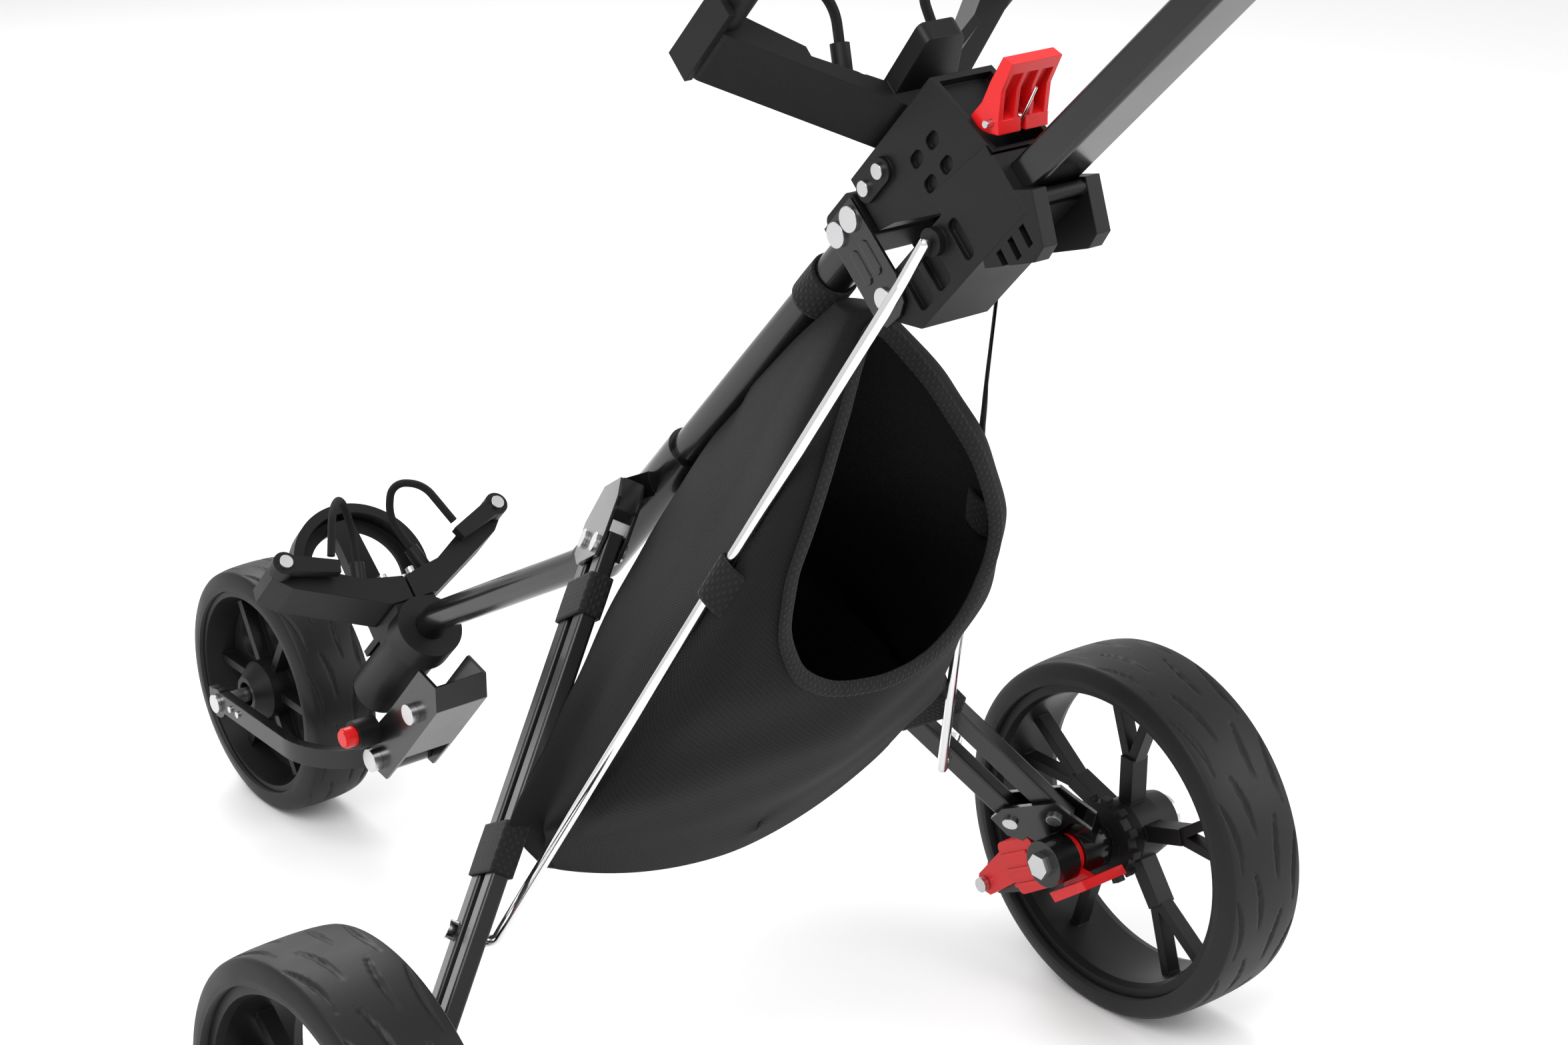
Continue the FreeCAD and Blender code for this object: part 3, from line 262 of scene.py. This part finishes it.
finishes = {
    "blackPaint": dict(color=(0.0035, 0.0035, 0.0038), metallic=0.0, rough=(0.20, 0.30),
        grainScale=260, bump=0.03, coat=0.25, bevel=0.0009, gloss=0.35),
    "barPaint": dict(color=(0.0045, 0.0045, 0.0048), metallic=0.0, rough=(0.28, 0.40),
        grainScale=320, bump=0.04, coat=0.15, bevel=0.0009, gloss=0.35),
    "blackPlastic": dict(color=(0.0048, 0.0048, 0.0052), metallic=0.0, rough=(0.40, 0.52),
        grainScale=1500, bump=0.10, coat=0.0, bevel=0.0010, gloss=0.21),
    "rimPlastic": dict(color=(0.0055, 0.0055, 0.0060), metallic=0.0, rough=(0.38, 0.50),
        grainScale=1300, bump=0.06, coat=0.0, bevel=0.0012, gloss=0.21),
    "chrome": dict(color=(0.80, 0.80, 0.81), metallic=1.0, rough=(0.05, 0.12),
        grainScale=500, bump=0.01, coat=0.0, bevel=0.0004, gloss=0.5),
    "zincSteel": dict(color=(0.60, 0.60, 0.61), metallic=1.0, rough=(0.22, 0.36),
        grainScale=900, bump=0.04, coat=0.0, bevel=0.0006, gloss=0.5),
    "tyreRubber": dict(color=(0.0070, 0.0070, 0.0073), metallic=0.0, rough=(0.44, 0.58),
        grainScale=1100, bump=0.10, coat=0.0, bevel=0.0, gloss=0.26),
    "softRubber": dict(color=(0.0065, 0.0065, 0.0068), metallic=0.0, rough=(0.52, 0.66),
        grainScale=1600, bump=0.12, coat=0.0, bevel=0.0006, gloss=0.3),
    "redPlastic": dict(color=(0.62, 0.006, 0.008), metallic=0.0, rough=(0.32, 0.44),
        grainScale=1200, bump=0.05, coat=0.1, bevel=0.0009, gloss=0.35),
}


def hardFinish(name, settings):
    # Principled surface: tone noise moves colour and roughness, grain feeds the bump, edges are rounded
    material = bpy.data.materials.new(name)
    material.use_nodes = True
    tree = material.node_tree
    shader = tree.nodes["Principled BSDF"]
    shader.inputs["Metallic"].default_value = settings["metallic"]
    shader.inputs["Coat Roughness"].default_value = 0.08
    shader.inputs["Specular IOR Level"].default_value = settings["gloss"]
    shader.inputs["Coat Weight"].default_value = settings["coat"]
    group = tree.nodes.new("ShaderNodeGroup")
    group.node_tree = grain
    group.inputs["Grain Scale"].default_value = settings["grainScale"]
    group.inputs["Tone Scale"].default_value = 14
    tone = tree.nodes.new("ShaderNodeMix")
    tone.data_type = "RGBA"
    color = settings["color"]
    tone.inputs["A"].default_value = (*[c * 0.82 for c in color], 1)
    tone.inputs["B"].default_value = (*[min(1, c * 1.18) for c in color], 1)
    tree.links.new(group.outputs["Tone"], tone.inputs["Factor"])
    tree.links.new(tone.outputs["Result"], shader.inputs["Base Color"])
    rough = tree.nodes.new("ShaderNodeMapRange")
    rough.inputs["To Min"].default_value, rough.inputs["To Max"].default_value = settings["rough"]
    rough.inputs["From Min"].default_value, rough.inputs["From Max"].default_value = 0.3, 0.7
    tree.links.new(group.outputs["Tone"], rough.inputs["Value"])
    tree.links.new(rough.outputs["Result"], shader.inputs["Roughness"])
    bump = tree.nodes.new("ShaderNodeBump")
    bump.inputs["Strength"].default_value = settings["bump"]
    bump.inputs["Distance"].default_value = 0.0006
    tree.links.new(group.outputs["Grain"], bump.inputs["Height"])
    if settings["bevel"]:
        bevel = tree.nodes.new("ShaderNodeBevel")
        bevel.samples = 4
        bevel.inputs["Radius"].default_value = settings["bevel"]
        tree.links.new(bevel.outputs["Normal"], bump.inputs["Normal"])
    tree.links.new(bump.outputs["Normal"], shader.inputs["Normal"])
    return material


def clothFinish(name, color, threads, bumpDepth, sheen):
    # woven cloth: the base colour gets a painted highlight on the thread crowns and painted shade between
    # threads, mixed with a broad random tone; the crowns stand up in the bump, a fine fuzz breaks them
    material = bpy.data.materials.new(name)
    material.use_nodes = True
    tree = material.node_tree
    shader = tree.nodes["Principled BSDF"]
    shader.inputs["Sheen Weight"].default_value = sheen
    shader.inputs["Sheen Roughness"].default_value = 0.45
    shader.inputs["Specular IOR Level"].default_value = 0.16
    group = tree.nodes.new("ShaderNodeGroup")
    group.node_tree = weave
    group.inputs["Threads Across"].default_value = threads[0]
    group.inputs["Threads Along"].default_value = threads[1]
    broad = tree.nodes.new("ShaderNodeGroup")
    broad.node_tree = grain
    broad.inputs["Tone Scale"].default_value = 7
    # painted highlight on the thread crowns and painted shade between them, plus a broad random tone, drive the
    # base colour
    paintedWeaveShadeAndTone = mathNode(tree, "MULTIPLY", group.outputs["Height"], 0.85)
    paintedWeaveShadeAndTone = mathNode(tree, "ADD", paintedWeaveShadeAndTone, mathNode(tree, "MULTIPLY", broad.outputs["Tone"], 0.45))
    # shaded and lit copies of the cloth colour: painted shade at 0.45, painted highlight at 1.55
    tone = tree.nodes.new("ShaderNodeMix")
    tone.data_type = "RGBA"
    tone.inputs["A"].default_value = (*[c * 0.45 for c in color], 1)
    tone.inputs["B"].default_value = (*[c * 1.55 for c in color], 1)
    tree.links.new(paintedWeaveShadeAndTone, tone.inputs["Factor"])
    tree.links.new(tone.outputs["Result"], shader.inputs["Base Color"])
    rough = mathNode(tree, "ADD", mathNode(tree, "MULTIPLY", group.outputs["Fuzz"], 0.25), 0.62)
    tree.links.new(rough, shader.inputs["Roughness"])
    bump = tree.nodes.new("ShaderNodeBump")
    bump.inputs["Strength"].default_value = 0.7
    bump.inputs["Distance"].default_value = bumpDepth
    fuzzHeight = mathNode(tree, "MULTIPLY", group.outputs["Fuzz"], 0.25)
    height = mathNode(tree, "ADD", group.outputs["Height"], fuzzHeight)
    tree.links.new(height, bump.inputs["Height"])
    tree.links.new(bump.outputs["Normal"], shader.inputs["Normal"])
    return material


materials = {name: hardFinish(name, settings) for name, settings in finishes.items()}
materials["pouchCloth"] = clothFinish("pouchCloth", (0.0052, 0.0052, 0.0056), (620, 620), 0.0005, 0.02)
materials["webbing"] = clothFinish("webbing", (0.0085, 0.0085, 0.0090), (420, 300), 0.0010, 0.05)
materials["cordSheath"] = clothFinish("cordSheath", (0.0080, 0.0080, 0.0085), (900, 700), 0.0006, 0.05)

slotMaterial = {
    "black_paint": "blackPaint", "frame_bar": "barPaint", "black_plastic": "blackPlastic",
    "rim_plastic": "rimPlastic", "chrome": "chrome", "steel": "zincSteel", "tyre": "tyreRubber",
    "soft_rubber": "softRubber", "red_plastic": "redPlastic", "pouch_fabric": "pouchCloth", "webbing": "webbing",
}


def dress(obj, material):
    obj.data.materials.clear()
    obj.data.materials.append(materials[material])


for entry in frame["record"]["subparts"]:
    node = cadNodes[entry["node"]]
    for slot in node.material_slots:
        slot.material = materials[slotMaterial[entry["material_slot"]]]
print("materials made", len(materials))


# ---- tyres ----

rearTread = {
    "radius": 133.5, "width": 72.0, "inner": 116.1, "crown": 5.0, "shoulder": 9.0,
    "sipes": 12, "sipeLength": 56.0, "sipeWidth": 2.6, "sipeDepth": 1.9,
    "rows": (8.0, 24.0), "bow": 6.5, "turns": 720,
}
frontTread = {
    "radius": 101.5, "width": 60.0, "inner": 84.1, "crown": 6.0, "shoulder": 8.0,
    "sipes": 11, "sipeLength": 46.0, "sipeWidth": 2.2, "sipeDepth": 1.7,
    "rows": (6.5, 20.0), "bow": 5.5, "turns": 600,
}


def tyre(name, centre, tread, body, node):
    # ring of revolution; the tread sinks along comma-shaped grooves that run round it, each widening to one end
    half, radius = tread["width"] / 2, tread["radius"]
    across = np.linspace(-1, 1, 66)
    x = half * np.sin(across * np.pi / 2)
    atShoulder = np.clip((np.abs(x) / half - 0.86) / 0.14, 0, 1)
    drop = tread["crown"] * np.abs(across) ** 2.2 + tread["shoulder"] * atShoulder**2
    outerR = radius - drop
    wallR = np.linspace(outerR[-1], tread["inner"], 8)[1:]
    barrel = np.linspace(half, -half, 10)[1:-1]
    px = np.concatenate([x, np.full(7, half), barrel, np.full(7, -half)])
    pr = np.concatenate([outerR, wallR, np.full(8, tread["inner"]), wallR[::-1]])
    angle = np.linspace(0, 2 * np.pi, tread["turns"], endpoint=False)[:, None]
    pitch = 2 * np.pi * radius / tread["sipes"]
    sink = np.zeros((tread["turns"], len(px)))
    onTread = (np.arange(len(px)) < 66)[None, :]
    for hand in (-1, 1):
        for row, spot in enumerate(tread["rows"]):
            shift = pitch * (0.25 * row + (0.5 if hand > 0 else 0))
            along = (angle * radius + shift + pitch / 2) % pitch - pitch / 2
            share = along / (tread["sipeLength"] / 2)
            middle = spot + tread["bow"] * (share + 0.4) ** 2 * 0.5
            taper = np.clip(1 - np.abs(share), 0, 1) ** 0.5 * (0.45 + 0.55 * np.clip((share + 1) / 2, 0, 1))
            gap = np.abs(px[None, :] * hand - middle)
            sink = np.maximum(sink, np.clip((tread["sipeWidth"] * taper - gap) / 1.1, 0, 1) * onTread)
    r = pr[None, :] - sink * tread["sipeDepth"]
    grid = np.stack([np.broadcast_to(px[None, :], r.shape), r * np.sin(angle), r * np.cos(angle)], -1)
    obj = surfaceMesh(name, place(grid + np.array(centre)), wrapRows=True, wrapColumns=True)
    dress(obj, "tyreRubber")
    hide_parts(node)
    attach(obj, body)


wx, wy, wz = layout["rearWheel"]
tyre("leftRearTyre", (-wx, wy, wz), rearTread, "left_wheel", "left_rear_tyre")
tyre("rightRearTyre", (wx, wy, wz), rearTread, "right_wheel", "right_rear_tyre")
tyre("frontTyre", layout["frontWheel"], frontTread, "front_wheel", "front_tyre")
print("tyres made")


# ---- storage pouch ----

pouch = {
    # height, front half-width and y, side, rear corner, middle of the rear
    "levels": [
        (612, (4, -62), (10, -70), (12, -84), -88),
        (560, (10, -8), (36, -50), (55, -97), -111),
        (490, (14, 54), (60, -28), (90, -105), -125),
        (420, (34, 90), (86, 12), (110, -81), -121),
        (340, (106, 70), (122, 36), (128, -26), -78),
        (270, (154, 46), (158, 36), (150, 18), -12),
        (205, (128, 56), (134, 53), (126, 50), 48),
    ],
    "mouth": [(0, 384), (36, 389), (64, 408), (78, 440), (77, 475),
              (63, 510), (45, 545), (26, 575), (9, 598), (0, 603)],
    "split": ([205, 270, 340, 384, 420, 490, 560, 612], [30, 0, -20, -50, -65, -85, -86, -78]),
    "wall": 0.0016,
    "rows": 150,
    "columns": 300,
    "binding": (0.0052, 0.0019),
}


def pouchGrid():
    # each level is a closed spline through eight points; the levels are splined from top to hem
    rings = []
    for height, front, side, rear, middle in pouch["levels"]:
        halfRing = [(x, y, height) for x, y in (rear, side, front)]
        ring = [(0, middle, height)] + halfRing + [(-x, y, z) for x, y, z in reversed(halfRing)]
        rings.append(roundSpline(ring, pouch["columns"], closed=True))
    grid = roundSpline(np.array(rings), pouch["rows"])
    # soft folds: a crease from each rod strap down to the leg's lower strap and long shallow waves
    x, y, z = grid[..., 0], grid[..., 1], grid[..., 2]
    out = np.stack([x, y - 20.0, np.zeros_like(x)], -1)
    out /= np.maximum(np.linalg.norm(out, axis=-1, keepdims=True), 1e-6)
    line = np.abs(np.abs(x) - (100 + (460 - z) * 0.28))
    crease = -3.2 * np.exp(-(line / 9) ** 2) * np.clip((470 - z) / 60, 0, 1) * np.clip((z - 230) / 40, 0, 1)
    waves = 1.6 * np.sin(z / 21 + x / 37) * np.sin(x / 43 + 1.2) + 1.0 * np.sin(z / 11 - x / 26 + 0.6)
    waves *= np.clip((z - 205) / 60, 0, 1) * np.clip((600 - z) / 60, 0, 1)
    grid = grid + out * (crease + waves - 1.5)[..., None]
    # the hem climbs towards the legs with the square of the distance from the middle
    grid[..., 2] += 34 * (np.abs(x) / 140) ** 2 * np.clip((310 - z) / 105, 0, 1) ** 1.3
    return grid


def closedMouth():
    # the mouth's outline in x and z, mirrored and splined
    half = pouch["mouth"]
    return roundSpline(half + [(-x, z) for x, z in reversed(half[1:-1])], 260, closed=True)


def insideOutline(x, z, outline):
    # even-odd rule for a whole array of points
    x1, z1 = outline[:, 0], outline[:, 1]
    x2, z2 = np.roll(x1, -1), np.roll(z1, -1)
    px, pz = x[..., None], z[..., None]
    crosses = ((z1 > pz) != (z2 > pz)) & (px < (x2 - x1) * (pz - z1) / (z2 - z1 + 1e-9) + x1)
    return crosses.sum(-1) % 2 == 1


def surfaceY(grid, x, z):
    # the rear wall's depth at a point, from its eight nearest grid points
    rear = grid[grid[..., 1] < np.interp(grid[..., 2], pouch["split"][0], pouch["split"][1])]
    gap = (rear[None, :, 0] - x[:, None]) ** 2 + (rear[None, :, 2] - z[:, None]) ** 2
    near = np.argsort(gap, axis=1)[:, :8]
    weight = 1 / (np.take_along_axis(gap, near, 1) + 1)
    return (rear[near, 1] * weight).sum(1) / weight.sum(1)


pouchPoints = pouchGrid()
mouth = closedMouth()
pairSums = pouchPoints + np.roll(pouchPoints, -1, 1)
centres = pairSums[:-1] / 4 + pairSums[1:] / 4
rearHalf = centres[..., 1] < np.interp(centres[..., 2], pouch["split"][0], pouch["split"][1])
hole = insideOutline(centres[..., 0], centres[..., 2], mouth) & rearHalf
stepU = np.linalg.norm(np.roll(pouchPoints, -1, 1) - pouchPoints, axis=-1) / 1000
runU = np.concatenate([np.zeros((pouch["rows"], 1)), np.cumsum(stepU, 1)], 1)
runU = np.repeat(runU[60:61], pouch["rows"] + 1, 0)
runV = np.linspace(0, 0.47, pouch["rows"] + 1)[:, None]
pouchUv = np.stack(np.broadcast_arrays(runU, runV), -1)
pouchObj = surfaceMesh("storagePouch", place(pouchPoints), wrapColumns=True, uv=pouchUv, drop=hole)


def closeHem(obj):
    # joins the bottom and top rims of the bag across, leaving the mouth open
    import bmesh
    bm = bmesh.new()
    bm.from_mesh(obj.data)
    bm.verts.ensure_lookup_table()
    columns = pouch["columns"]
    last = len(bm.verts) - columns
    for start in (0, last):
        ring = [bm.verts[start + i] for i in range(columns)]
        for i in range(columns // 2 - 1):
            bm.faces.new((ring[i], ring[i + 1], ring[columns - 2 - i], ring[(columns - 1 - i) % columns]))
    loose = [v for v in bm.verts if not v.link_faces]
    bmesh.ops.delete(bm, geom=loose, context="VERTS")
    bmesh.ops.recalc_face_normals(bm, faces=bm.faces)
    for face in bm.faces:
        face.smooth = True
    bm.to_mesh(obj.data)
    bm.free()


closeHem(pouchObj)
wallModifier = pouchObj.modifiers.new("wall", "SOLIDIFY")
wallModifier.thickness = pouch["wall"]
wallModifier.offset = -1
dress(pouchObj, "pouchCloth")
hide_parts("storage_pouch")
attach(pouchObj, "frame")

edge = np.stack([mouth[:, 0], surfaceY(pouchPoints, mouth[:, 0], mouth[:, 1]), mouth[:, 1]], -1)
edge = (np.roll(edge, 1, 0) + edge + np.roll(edge, -1, 0)) / 3
middle = edge.mean(0)
bindingWide, bindingThick = pouch["binding"]
binding = sweep("pouchMouthBinding", place(edge), bindingWide, bindingThick, edge - middle, sides=18, closed=True)
dress(binding, "webbing")
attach(binding, "frame")
print("pouch made")


# ---- webbing ----

webbing = {
    "thickness": 1.9, "gap": 0.5, "bars": (18.0, 11.0, 34.0),
    "upper": (20.5, 47.5), "lower": (184.5, 217.5), "tube": (226.5, 253.5), "corner": 1.6,
    # on each stay rod: share of the way up, width, and the oval loop's shift and half sizes
    "rodKnee": (342.0, 56.0, -38.0), "rodFoot": (254.0, 34.0, 19.0), "rodShare": 0.56, "rodWidth": 30.0,
    "rodLoop": (6.5, 11.5, 4.7),
}


def webbingLoop(name, ring, start, end, body, node):
    # a closed ring of points carried from start to end, with a slight swell across the band
    share = np.linspace(0, 1, 14)
    centre = ring.mean(0)
    swell = 1 + 0.012 * np.sin(np.pi * share)
    grid = centre + (ring - centre)[None] * swell[:, None, None] + (end - start) * share[:, None, None] + start
    step = np.linalg.norm(np.roll(ring, -1, 0) - ring, axis=1) / 1000
    run = np.concatenate([[0], np.cumsum(step)])
    width = np.linalg.norm(end - start) / 1000
    uv = np.stack(np.broadcast_arrays(run[None, :], np.append(share, 1.0)[:, None] * width), -1)
    obj = surfaceMesh(name, place(grid), wrapColumns=True, uv=uv)
    wall = obj.modifiers.new("wall", "SOLIDIFY")
    wall.thickness = webbing["thickness"] / 1000
    wall.offset = 1
    dress(obj, "webbing")
    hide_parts(node)
    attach(obj, body)
    return obj


def barRing(side):
    # rounded box round both bars of a leg
    width, thick, shift = webbing["bars"]
    e0, e1 = -width / 2 - webbing["gap"], shift + width / 2 + webbing["gap"]
    n0 = thick / 2 + webbing["gap"]
    corner = webbing["corner"]
    path = []
    for ce, cn, a0 in ((e1 - corner, n0 - corner, 0), (e0 + corner, n0 - corner, 90),
                       (e0 + corner, corner - n0, 180), (e1 - corner, corner - n0, 270)):
        a = np.radians(a0 + np.linspace(0, 90, 7))
        path.append(np.stack([ce + corner * np.cos(a), cn + corner * np.sin(a)], -1))
    path = np.concatenate(path)
    flip = np.array([-side, 1, 1])
    return path[:, :1] * legForward * flip + path[:, 1:] * legAcross * flip


for side, hand in ((-1, "left"), (1, "right")):
    for label in ("upper", "lower"):
        a, b = webbing[label]
        webbingLoop(hand + label.capitalize() + "LegStrap", barRing(side), legPoint(a, 0, 0, side),
                    legPoint(b, 0, 0, side), hand + "_rear_bar", hand + "_leg_straps")

angles = np.linspace(0, 2 * np.pi, 60, endpoint=False)[:, None]
tubeRing = 12.75 * (np.cos(angles) * np.array([[1.0, 0, 0]]) + np.sin(angles) * backTube[None])
a, b = webbing["tube"]
webbingLoop("spineStrap", tubeRing, tubePoint(a, 0), tubePoint(b, 0), "frame", "tube_strap")
rodRing = np.linspace(0, 2 * np.pi, 48, endpoint=False)[:, None]
for side, hand in ((-1, "left"), (1, "right")):
    flip = np.array([-side, 1, 1])
    knee = tubePoint(*webbing["rodKnee"]) * flip
    foot = legPoint(*webbing["rodFoot"], side)
    along = unitVector(knee - foot)
    inward = np.array([-0.25 * side, -1.0, 0.0])
    inward = unitVector(inward - (inward @ along) * along)
    beside = np.cross(along, inward)
    shift, long, narrow = webbing["rodLoop"]
    loop = (shift + long * np.cos(rodRing)) * inward + narrow * np.sin(rodRing) * beside
    start = foot + (knee - foot) * webbing["rodShare"]
    end = start + along * webbing["rodWidth"]
    webbingLoop(hand + "RodStrap", loop, start, end, hand + "_rod", hand + "_rod_strap")
print("webbing made")


# ---- elastic cords ----

cords = {"diameter": 0.006, "jawRise": 70.0, "jawReach": 91.0, "cradleReach": 112.0, "cradleRise": 100.0}


def cordCentre(points):
    # straight runs joined by arcs: each corner's arc starts 0.45 of its shorter run away
    line = [points[0]]
    for before, corner, after in zip(points, points[1:], points[2:]):
        into, out = unitVector(corner - before), unitVector(after - corner)
        half = math.acos(np.clip(into @ out, -1, 1)) / 2
        reach = 0.45 * min(np.linalg.norm(corner - before), np.linalg.norm(after - corner))
        radius = reach / math.tan(half)
        heart = corner + unitVector(out - into) * radius / math.cos(half)
        first, last = corner - into * reach, corner + out * reach
        for share in np.linspace(0, 1, 9):
            angle = half * 2 * share
            axis = unitVector(np.cross(into, out))
            arm = first - heart
            line.append(heart + arm * math.cos(angle) + np.cross(axis, arm) * math.sin(angle))
    line.append(points[-1])
    return np.array(line)


def elasticCord(name, points, node):
    line = place(cordCentre([np.asarray(p) for p in points]))
    curve = bpy.data.curves.new(name, "CURVE")
    curve.dimensions = "3D"
    curve.bevel_depth = cords["diameter"] / 2
    curve.bevel_resolution = 5
    curve.use_fill_caps = True
    spline = curve.splines.new("NURBS")
    spline.points.add(len(line) - 1)
    spline.points.foreach_set("co", np.concatenate([line, np.ones((len(line), 1))], 1).reshape(-1))
    spline.use_endpoint_u = True
    spline.order_u = 3
    spline.resolution_u = 6
    obj = bpy.data.objects.new(name, curve)
    bpy.context.collection.objects.link(obj)
    curve.materials.append(materials["cordSheath"])
    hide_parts(node)
    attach(obj, "frame")


for side, hand in ((-1, "left"), (1, "right")):
    rise, reach = cords["jawRise"], cords["jawReach"]
    elasticCord(hand + "LowerCord", [
        sleevePoint(-7, rise + 1, side * (reach - 38)), sleevePoint(-14, rise + 34, side * (reach - 52)),
        sleevePoint(-2, rise + 46, side * 22), sleevePoint(14, rise + 26, side * 16),
        sleevePoint(18, rise - 7, side * 25)], "lower_cords")
    rise, reach = cords["cradleRise"], cords["cradleReach"]
    elasticCord(hand + "UpperCord", [
        tubePoint(411, -rise - 5.3, side * (reach - 14)), tubePoint(416, -rise - 6, side * 62),
        tubePoint(400, -rise + 10, side * 30), tubePoint(388, -64, side * 34)], "cradle_cords")
print("cords made")


# ---- grip ----

gripShape = {
    "width": 43.6, "depth": 30.6, "start": 350.0, "length": 115.0, "tilt": 2.6, "foot": (400.0, 55.0),
    "ribs": 9, "ribDepth": 0.9, "rounding": 0.62,
}


def handleGrip():
    # superellipse sections along the handle; shallow finger grooves follow a squared sine
    lean = math.radians(gripShape["tilt"])
    along = upTube * math.cos(lean) + backTube * math.sin(lean)
    depth = backTube * math.cos(lean) - upTube * math.sin(lean)
    share = np.linspace(0, 1, 120)[:, None]
    angle = np.linspace(0, 2 * np.pi, 72, endpoint=False)[None, :]
    nearEnd = np.clip(1 - np.minimum(share, 1 - share) / 0.035, 0, 1)
    ends = np.sqrt(1 - nearEnd**2) * 0.12 + 0.88
    groove = gripShape["ribDepth"] * np.sin(np.pi * gripShape["ribs"] * share) ** 8 * (np.sin(angle) > -0.2)
    w = (gripShape["width"] / 2 - groove) * ends
    d = (gripShape["depth"] / 2 - groove) * ends
    x = w * np.sign(np.cos(angle)) * np.abs(np.cos(angle)) ** gripShape["rounding"]
    y = d * np.sign(np.sin(angle)) * np.abs(np.sin(angle)) ** gripShape["rounding"]
    run = gripShape["start"] + share * gripShape["length"]
    base = tubePoint(*gripShape["foot"])
    grid = base + run[..., None] * along + y[..., None] * depth + x[..., None] * np.array([1.0, 0, 0])
    obj = closeEnds(surfaceMesh("handleGrip", place(grid), wrapColumns=True))
    dress(obj, "softRubber")
    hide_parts("handle_grip")
    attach(obj, "handle")


handleGrip()
print("grip made")


# ---- studio ----

studio = {
    "camera": (-1043.3, -1317.6, 1157.1), "yaw": 38.52, "pitch": 22.73, "lens": 68.70,
    "floor": (0.88, 0.88, 0.88), "world": 0.85,
    "lights": [
        # name, place in metres, size, power
        ("keyLight", (-1.6, -1.0, 2.6), 1.8, 60),
        ("fillLight", (1.9, -1.6, 1.5), 2.0, 26),
        ("rimLight", (0.6, 2.4, 2.0), 1.6, 45),
    ],
}


def makeStudio():
    floorMesh = bpy.data.meshes.new("floor")
    size = 12.0
    corners = [(-size, -size, 0), (size, -size, 0), (size, size, 0), (-size, size, 0)]
    floorMesh.from_pydata(corners, [], [(0, 1, 2, 3)])
    floor = bpy.data.objects.new("floor", floorMesh)
    bpy.context.collection.objects.link(floor)
    paint = bpy.data.materials.new("floorPaint")
    paint.use_nodes = True
    shader = paint.node_tree.nodes["Principled BSDF"]
    shader.inputs["Base Color"].default_value = (*studio["floor"], 1)
    shader.inputs["Roughness"].default_value = 0.75
    floorMesh.materials.append(paint)
    world = bpy.data.worlds.new("studioWorld")
    world.use_nodes = True
    world.node_tree.nodes["Background"].inputs["Color"].default_value = (1, 1, 1, 1)
    world.node_tree.nodes["Background"].inputs["Strength"].default_value = studio["world"]
    bpy.context.scene.world = world
    target = Vector((0, 0.05, 0.4))
    for name, spot, size, power in studio["lights"]:
        light = bpy.data.lights.new(name, "AREA")
        light.shape = "DISK"
        light.size = size
        light.energy = power
        obj = bpy.data.objects.new(name, light)
        obj.location = spot
        obj.rotation_euler = (target - Vector(spot)).to_track_quat("-Z", "Y").to_euler()
        bpy.context.collection.objects.link(obj)
    yaw, pitch = math.radians(studio["yaw"]), math.radians(studio["pitch"])
    camera = bpy.data.cameras.new("camera")
    camera.lens = studio["lens"]
    camera.sensor_width = 36
    camera.clip_end = 60
    obj = bpy.data.objects.new("camera", camera)
    obj.location = place(studio["camera"])
    look = Vector((math.cos(pitch) * math.sin(yaw), math.cos(pitch) * math.cos(yaw), -math.sin(pitch)))
    obj.rotation_euler = look.to_track_quat("-Z", "Y").to_euler()
    bpy.context.collection.objects.link(obj)
    bpy.context.scene.camera = obj
    bpy.context.scene.view_settings.view_transform = "Standard"


makeStudio()
